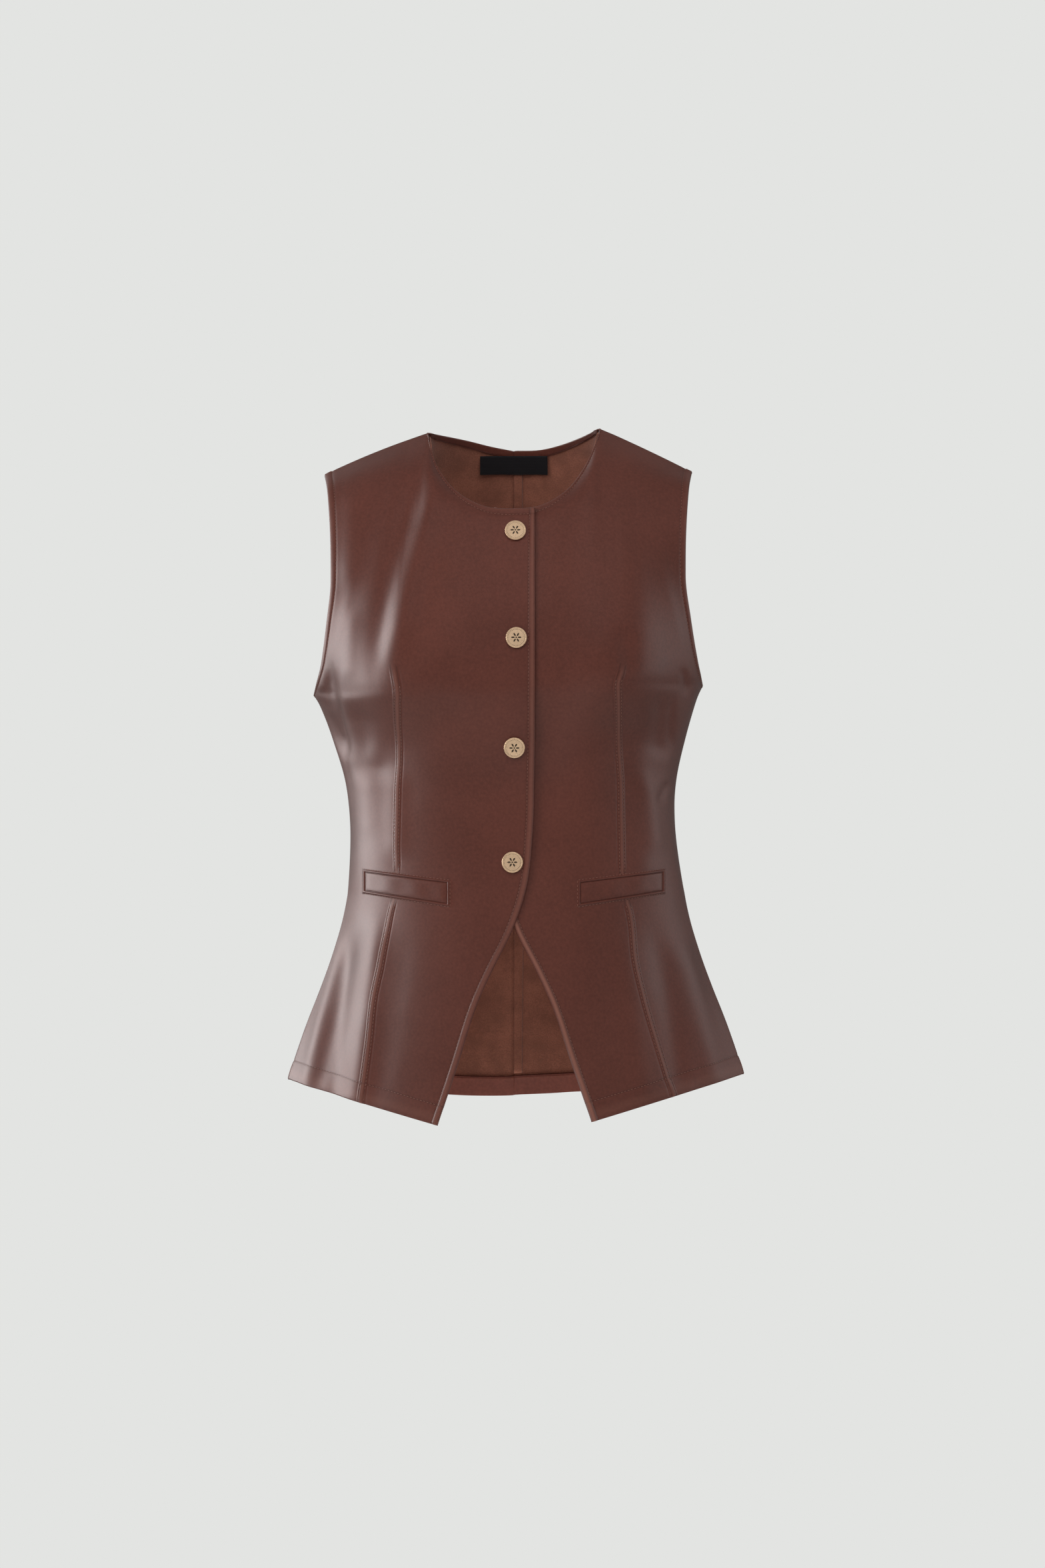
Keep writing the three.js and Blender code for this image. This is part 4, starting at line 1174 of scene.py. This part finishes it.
class VEST_OT_welts(bpy.types.Operator):
    """Pocket welts: a folded strip in a raised lip, with stitches round it"""

    bl_idname = "vest.welts"
    bl_label = "Pocket welts"

    def execute(self, context):
        sizes = context.scene.vest_sizes
        leather = finish_for(context, "Glazed leather")
        for side in ("left", "right"):
            panel = PANELS[f"front_{side}"]
            name = f"pocket_welt_{side}"
            length = WELT["outer_x"] - WELT["inner_x"]
            height = WELT["inner_top"] - WELT["inner_bottom"]
            across, down = np.meshgrid(self.lines(length, 1.6), self.lines(height, 1.2))
            x, z = self.spread(across, down, length, height)
            row, place = find_places(panel, x, z)
            end = np.minimum(across, length - across)
            rim = np.minimum(end, np.minimum(down, height - down))
            points = panel.surface(row, place)
            normals = panel.turned_out(directions(points))
            points = points + normals * self.form(rim, across, sizes)[..., None]
            mesh, order = grid_mesh(f"{name}_leather", points, flips(panel))
            # Painted shade, partly pressed leather: darker at the stitches round the patch and in the gap
            # round the strip
            line = np.minimum(abs(rim + WELT_STITCHES) + 0.3, abs(rim + 0.15) + 0.45)
            set_attribute(mesh, "from_stitch", line[order[:, 0], order[:, 1]])
            obj = add_object(f"{name}_leather", mesh)
            add_wall(obj, WELT["thickness"] * 0.5)
            dress(obj, name, "leather", leather)
        return {"FINISHED"}

    def lines(self, size, step):
        """Places across the patch, close together at its lip and stitches."""
        near = np.array([-3.8, -3.4, -3, -2.7, -2.4, -2.05, -1.7, -1.3, -0.9, -0.5, -0.25,
                         0, 0.25, 0.6, 1.1, 2])
        return np.concatenate([near, np.arange(3.2, size - 2.8, step), size - near[::-1]])

    def spread(self, across, down, length, height):
        """Distances along the patch as places on the welt's own slanted oblong."""
        x = WELT["inner_x"] + across
        share = np.clip(across / length, 0, 1)
        low = mix(WELT["inner_bottom"], WELT["outer_bottom"], share)
        high = mix(WELT["inner_top"], WELT["outer_top"], share)
        beyond = down - np.clip(down, 0, height)
        return x, mix(low, high, np.clip(down / height, 0, 1)) + beyond

    def form(self, rim, across, sizes):
        """Height over the front: the strip, its sunk rim, the lip, the stitches and the patch's edge."""
        strip = 0.75 + 0.45 * ramp(rim, 0, 3.2) + 0.22 * np.sin(across * 0.27 + 0.7) * ramp(rim, 1, 5)
        strip = strip + rolled(rim, 0.7)
        lip = 0.3 + 1.05 * np.exp(-(((rim + WELT_LIP) / 0.9) ** 2))
        lip = lip - 0.2 * groove(rim + WELT_STITCHES, 0.5) - 0.75 * ramp(-rim, WELT_STITCHES + 0.3, WELT_END)
        sunk = 0.35 * groove(rim, 0.3)
        return np.where(rim > 0, strip, lip) - sunk


class VEST_OT_label(bpy.types.Operator):
    """The bare woven label inside the back neck"""

    bl_idname = "vest.label"
    bl_label = "Label"

    def execute(self, context):
        depth = LEATHER + BAND_GAP + FACING + 3 * GAP
        across = np.linspace(-LABEL["half_width"], LABEL["half_width"], 61)
        heights = np.linspace(LABEL["bottom"], LABEL["top"], 17)
        halves = []
        for side, chosen in (("right", across < 0), ("left", across >= 0)):
            panel = PANELS[f"back_{side}"]
            x, z = np.meshgrid(np.maximum(abs(across[chosen]), 0.2), heights)
            row, place = find_places(panel, x, z)
            points = panel.surface(row, place)
            normals = panel.outward(row, place)
            sag = 0.35 * np.sin(x * 0.21 + (0.6 if side == "left" else 2.1)) * ramp(LABEL["top"] - z, 2, 14)
            halves.append(points - normals * (depth + 0.3 + sag)[..., None])
        points = np.concatenate(halves, axis=1)
        points[:, :, 0] = np.where(abs(points[:, :, 0]) < 0.3, 0, points[:, :, 0])
        mesh, _ = grid_mesh("neck_label_tape", points, False)
        obj = add_object("neck_label_tape", mesh)
        add_wall(obj, LABEL["thickness"])
        dress(obj, "neck_label", "label", finish_for(context, "Woven satin tape"))
        return {"FINISHED"}


# Half section of a cap from its foot over the thin rim to its middle, in millimetres
CAP_PROFILE = [(0, 0), (6.8, 0), (8.2, 0.3), (8.85, 0.8), (9, 1.3), (8.92, 1.75), (8.7, 2.05), (8.4, 2.1),
               (8.15, 1.95), (7.95, 1.75), (7.6, 1.72), (6.6, 1.85), (5, 2), (2.5, 2.08), (0, 2.1)]
RIM_MARKS = 36
MARK_RING = 7.1
ROSETTE_PETALS = 6


class VEST_OT_caps(bpy.types.Operator):
    """Four snap caps with a thin rim, a ring of small marks and a plain rosette"""

    bl_idname = "vest.caps"
    bl_label = "Snap caps"

    def execute(self, context):
        panel = PANELS["front_right"]
        bright = finish_for(context, "Plated brass")
        dark = finish_for(context, "Darkened brass")
        for k, (x, z) in enumerate(CAP_PLACES):
            row, place = find_places(panel, [x], [z])
            normal = Vector(panel.outward(row, place)[0])
            centre = Vector(panel.surface(row, place)[0]) + normal * (GAP + 0.25)
            turn = normal.to_track_quat("Z", "Y").to_matrix().to_4x4()
            placed = Matrix.Translation(centre * MM) @ turn @ Matrix.Scale(MM, 4)
            mesh = self.cap_mesh(placed, f"snap_cap_{k + 1}_brass")
            obj = add_object(mesh.name, mesh)
            dress(obj, f"snap_cap_{k + 1}", "cap_metal", bright, dark)
        return {"FINISHED"}

    def cap_mesh(self, placed, name):
        bm = bmesh.new()
        ring = [bm.verts.new((r, 0, h)) for r, h in CAP_PROFILE]
        edges = [bm.edges.new(pair) for pair in zip(ring[:-1], ring[1:])]
        bmesh.ops.spin(bm, geom=ring + edges, cent=(0, 0, 0), axis=(0, 0, 1), angle=math.tau, steps=64,
                       use_merge=True)
        bmesh.ops.remove_doubles(bm, verts=bm.verts[:], dist=0.001)
        bmesh.ops.recalc_face_normals(bm, faces=bm.faces[:])
        dark_from = len(bm.faces)
        for k in range(RIM_MARKS):
            turn = Matrix.Rotation(math.tau * k / RIM_MARKS, 4, "Z")
            place = turn @ Matrix.Translation((MARK_RING, 0, 1.8)) @ Matrix.Diagonal((0.42, 0.2, 0.1, 1))
            bmesh.ops.create_uvsphere(bm, u_segments=6, v_segments=4, radius=1, matrix=place)
        self.add_rosette(bm)
        for k, face in enumerate(bm.faces):
            face.smooth = True
            face.material_index = 1 if k >= dark_from else 0
        bmesh.ops.transform(bm, matrix=placed, verts=bm.verts)
        mesh = bpy.data.meshes.new(name)
        bm.to_mesh(mesh)
        bm.free()
        return mesh

    def add_rosette(self, bm):
        """Low petals round a dot, in the middle of the cap."""
        for k in range(ROSETTE_PETALS):
            turn = Matrix.Rotation(math.tau * k / ROSETTE_PETALS, 4, "Z")
            place = turn @ Matrix.Translation((2.75, 0, 2.06)) @ Matrix.Diagonal((1.6, 0.72, 0.2, 1))
            bmesh.ops.create_uvsphere(bm, u_segments=12, v_segments=6, radius=1, matrix=place)
        dot = Matrix.Translation((0, 0, 2.1)) @ Matrix.Diagonal((0.7, 0.7, 0.2, 1))
        bmesh.ops.create_uvsphere(bm, u_segments=12, v_segments=6, radius=1, matrix=dot)


def read_along(values, gone, distance):
    """Points of a line, or its directions, at distances along it."""
    return np.stack([np.interp(distance, gone, values[:, k]) for k in range(3)], axis=1)


class VEST_OT_stitches(bpy.types.Operator):
    """Rows of topstitching on edges, hems, dart seams, welts and the centre back"""

    bl_idname = "vest.stitches"
    bl_label = "Stitches"

    def execute(self, context):
        sizes = context.scene.vest_sizes
        thread = finish_for(context, "Twisted polyester thread")
        for name, panel in PANELS.items():
            sunk = 0.1 - sizes.stitch_sink
            lines = [(*line, sunk) for line in self.edge_lines(panel)]
            if panel.front:
                lines += [(*line, sunk + SEAM_RISE * 0.9) for line in self.dart_lines(panel)]
                lines += [(*line, 0.2) for line in self.frame_lines(panel)]
            elif panel.side == "left":
                lines.append((*self.centre_line(panel), 0.1))
            self.sew(f"{name}_stitches", panel, lines, sizes, thread)
        return {"FINISHED"}

    def edge_lines(self, panel):
        """Rows of stitches beside the armhole, the neckline, the front edge and the hem."""
        c = panel.columns
        armhole = c["last"] - STITCH_INSET / ARMHOLE_FACING
        rows = np.linspace(UNDERARM + 0.02, panel.top - 0.02, 300)
        lines = [(rows, np.full(300, armhole))]
        places = np.linspace(FRONT_INSET / EDGE_TURN if panel.front else 0.05, c["neck"] - 0.02, 160)
        neck, _ = panel.rows_at(places, [0], [0, STITCH_INSET], 0)
        lines.append((neck[1], places))
        places = np.linspace(0.1, c["last"] - 0.1, 300)
        hem, _ = panel.rows_at(places, [0, HEM_TURN], [0], 0)
        lines.append((hem[1], places))
        if panel.front:
            inset = FRONT_INSET / EDGE_TURN
            start, _ = panel.rows_at(np.array([inset]), [0, 1.5], [0, STITCH_INSET], 0)
            edge = np.linspace(start[1, 0], start[2, 0], 400)
            lines.append((edge, np.full(400, inset)))
        return lines

    def dart_lines(self, panel):
        """Two rows on the dart seam, broken at the welt."""
        lines = []
        for place in (panel.columns["lap_top"], panel.columns["lap_end"]):
            rows = np.linspace(0.05, UNDERARM + 0.4, 500)
            z = panel.surface(rows, np.full(500, place))[:, 2]
            for part in (z < WELT["inner_bottom"] - 2, (z > WELT["outer_top"] - 3) & (z < LAP_TOP)):
                lines.append((rows[part], np.full(part.sum(), place)))
        return lines

    def frame_lines(self, panel):
        """The row of stitches round the welt."""
        steps, none, full = np.linspace(0, 1, 60), np.zeros(60), np.ones(60)
        lines = []
        for across, down in ((steps, none), (full, steps), (steps[::-1], full), (none, steps[::-1])):
            x, z = welt_place(across, down, WELT_STITCHES)
            lines.append(find_places(panel, x, z))
        return lines

    def centre_line(self, panel):
        """Stitches that hold down the allowance, on the panel that carries it."""
        return np.linspace(0.05, panel.top - 0.05, 500), np.full(500, 0.86)

    def sew(self, name, panel, lines, sizes, thread):
        bm = bmesh.new()
        pattern = self.stitch_pattern(sizes)
        for row, place, height in lines:
            points = panel.surface(row, place)
            normals = panel.outward(row, place)
            gone = np.concatenate([[0], np.linalg.norm(np.diff(points, axis=0), axis=1).cumsum()])
            count = max(int(gone[-1] / sizes.stitch_length), 1)
            middles = (np.arange(count) + 0.5) * gone[-1] / count
            centres = read_along(points, gone, middles)
            normal = read_along(normals, gone, middles)
            heading = read_along(points, gone, middles + 0.5) - read_along(points, gone, middles - 0.5)
            for centre, up, along in zip(centres, normal, heading):
                self.stitch(bm, pattern, centre + up * height, Vector(up), Vector(along))
        bpy.data.meshes.remove(pattern)
        for face in bm.faces:
            face.smooth = True
        mesh = bpy.data.meshes.new(name)
        bm.to_mesh(mesh)
        bm.free()
        obj = add_object(name, mesh)
        dress(obj, None, "leather", thread)

    def stitch_pattern(self, sizes):
        """One stitch: a thin thread that dives in at both ends."""
        bm = bmesh.new()
        long, thick = sizes.stitch_length * 0.42 * MM, sizes.thread / 2 * MM
        bmesh.ops.create_uvsphere(bm, u_segments=6, v_segments=4, radius=1,
                                  matrix=Matrix.Diagonal((long, thick, thick, 1)))
        mesh = bpy.data.meshes.new("Stitch")
        bm.to_mesh(mesh)
        bm.free()
        return mesh

    def stitch(self, bm, pattern, centre, up, along):
        along.normalize()
        side = up.cross(along).normalized()
        up = along.cross(side)
        turn = Matrix((along, side, up)).transposed().to_4x4()
        piece = pattern.copy()
        piece.transform(Matrix.Translation(Vector(centre) * MM) @ turn)
        bm.from_mesh(piece)
        bpy.data.meshes.remove(piece)


class VEST_OT_cuts(bpy.types.Operator):
    """Left empty: it records no flat cuts"""

    bl_idname = "vest.cuts"
    bl_label = "Cuts"

    def execute(self, context):
        return {"FINISHED"}


class VEST_PT_build(bpy.types.Panel):
    """The steps that build the vest"""

    bl_label = "Leather vest"
    bl_idname = "VEST_PT_build"
    bl_space_type = "VIEW_3D"
    bl_region_type = "UI"
    bl_category = "Vest"

    def draw(self, context):
        for operator in STEPS:
            self.layout.operator(operator.bl_idname)
        for group in (context.scene.vest_sizes, context.scene.vest_colours):
            for key in group.bl_rna.properties.keys():
                if key not in ("rna_type", "name"):
                    self.layout.prop(group, key)


STEPS = (VEST_OT_stage, VEST_OT_panels, VEST_OT_facings, VEST_OT_welts, VEST_OT_label, VEST_OT_caps,
         VEST_OT_stitches, VEST_OT_cuts)
CLASSES = (VestSizes, VestColours, *STEPS, VEST_PT_build)


def register():
    for item in CLASSES:
        bpy.utils.register_class(item)
    bpy.types.Scene.vest_sizes = bpy.props.PointerProperty(type=VestSizes)
    bpy.types.Scene.vest_colours = bpy.props.PointerProperty(type=VestColours)


def unregister():
    del bpy.types.Scene.vest_colours
    del bpy.types.Scene.vest_sizes
    for item in reversed(CLASSES):
        bpy.utils.unregister_class(item)


def main():
    register()
    for operator in STEPS:
        group, name = operator.bl_idname.split(".")
        getattr(getattr(bpy.ops, group), name)()


if __name__ == "__main__":
    main()
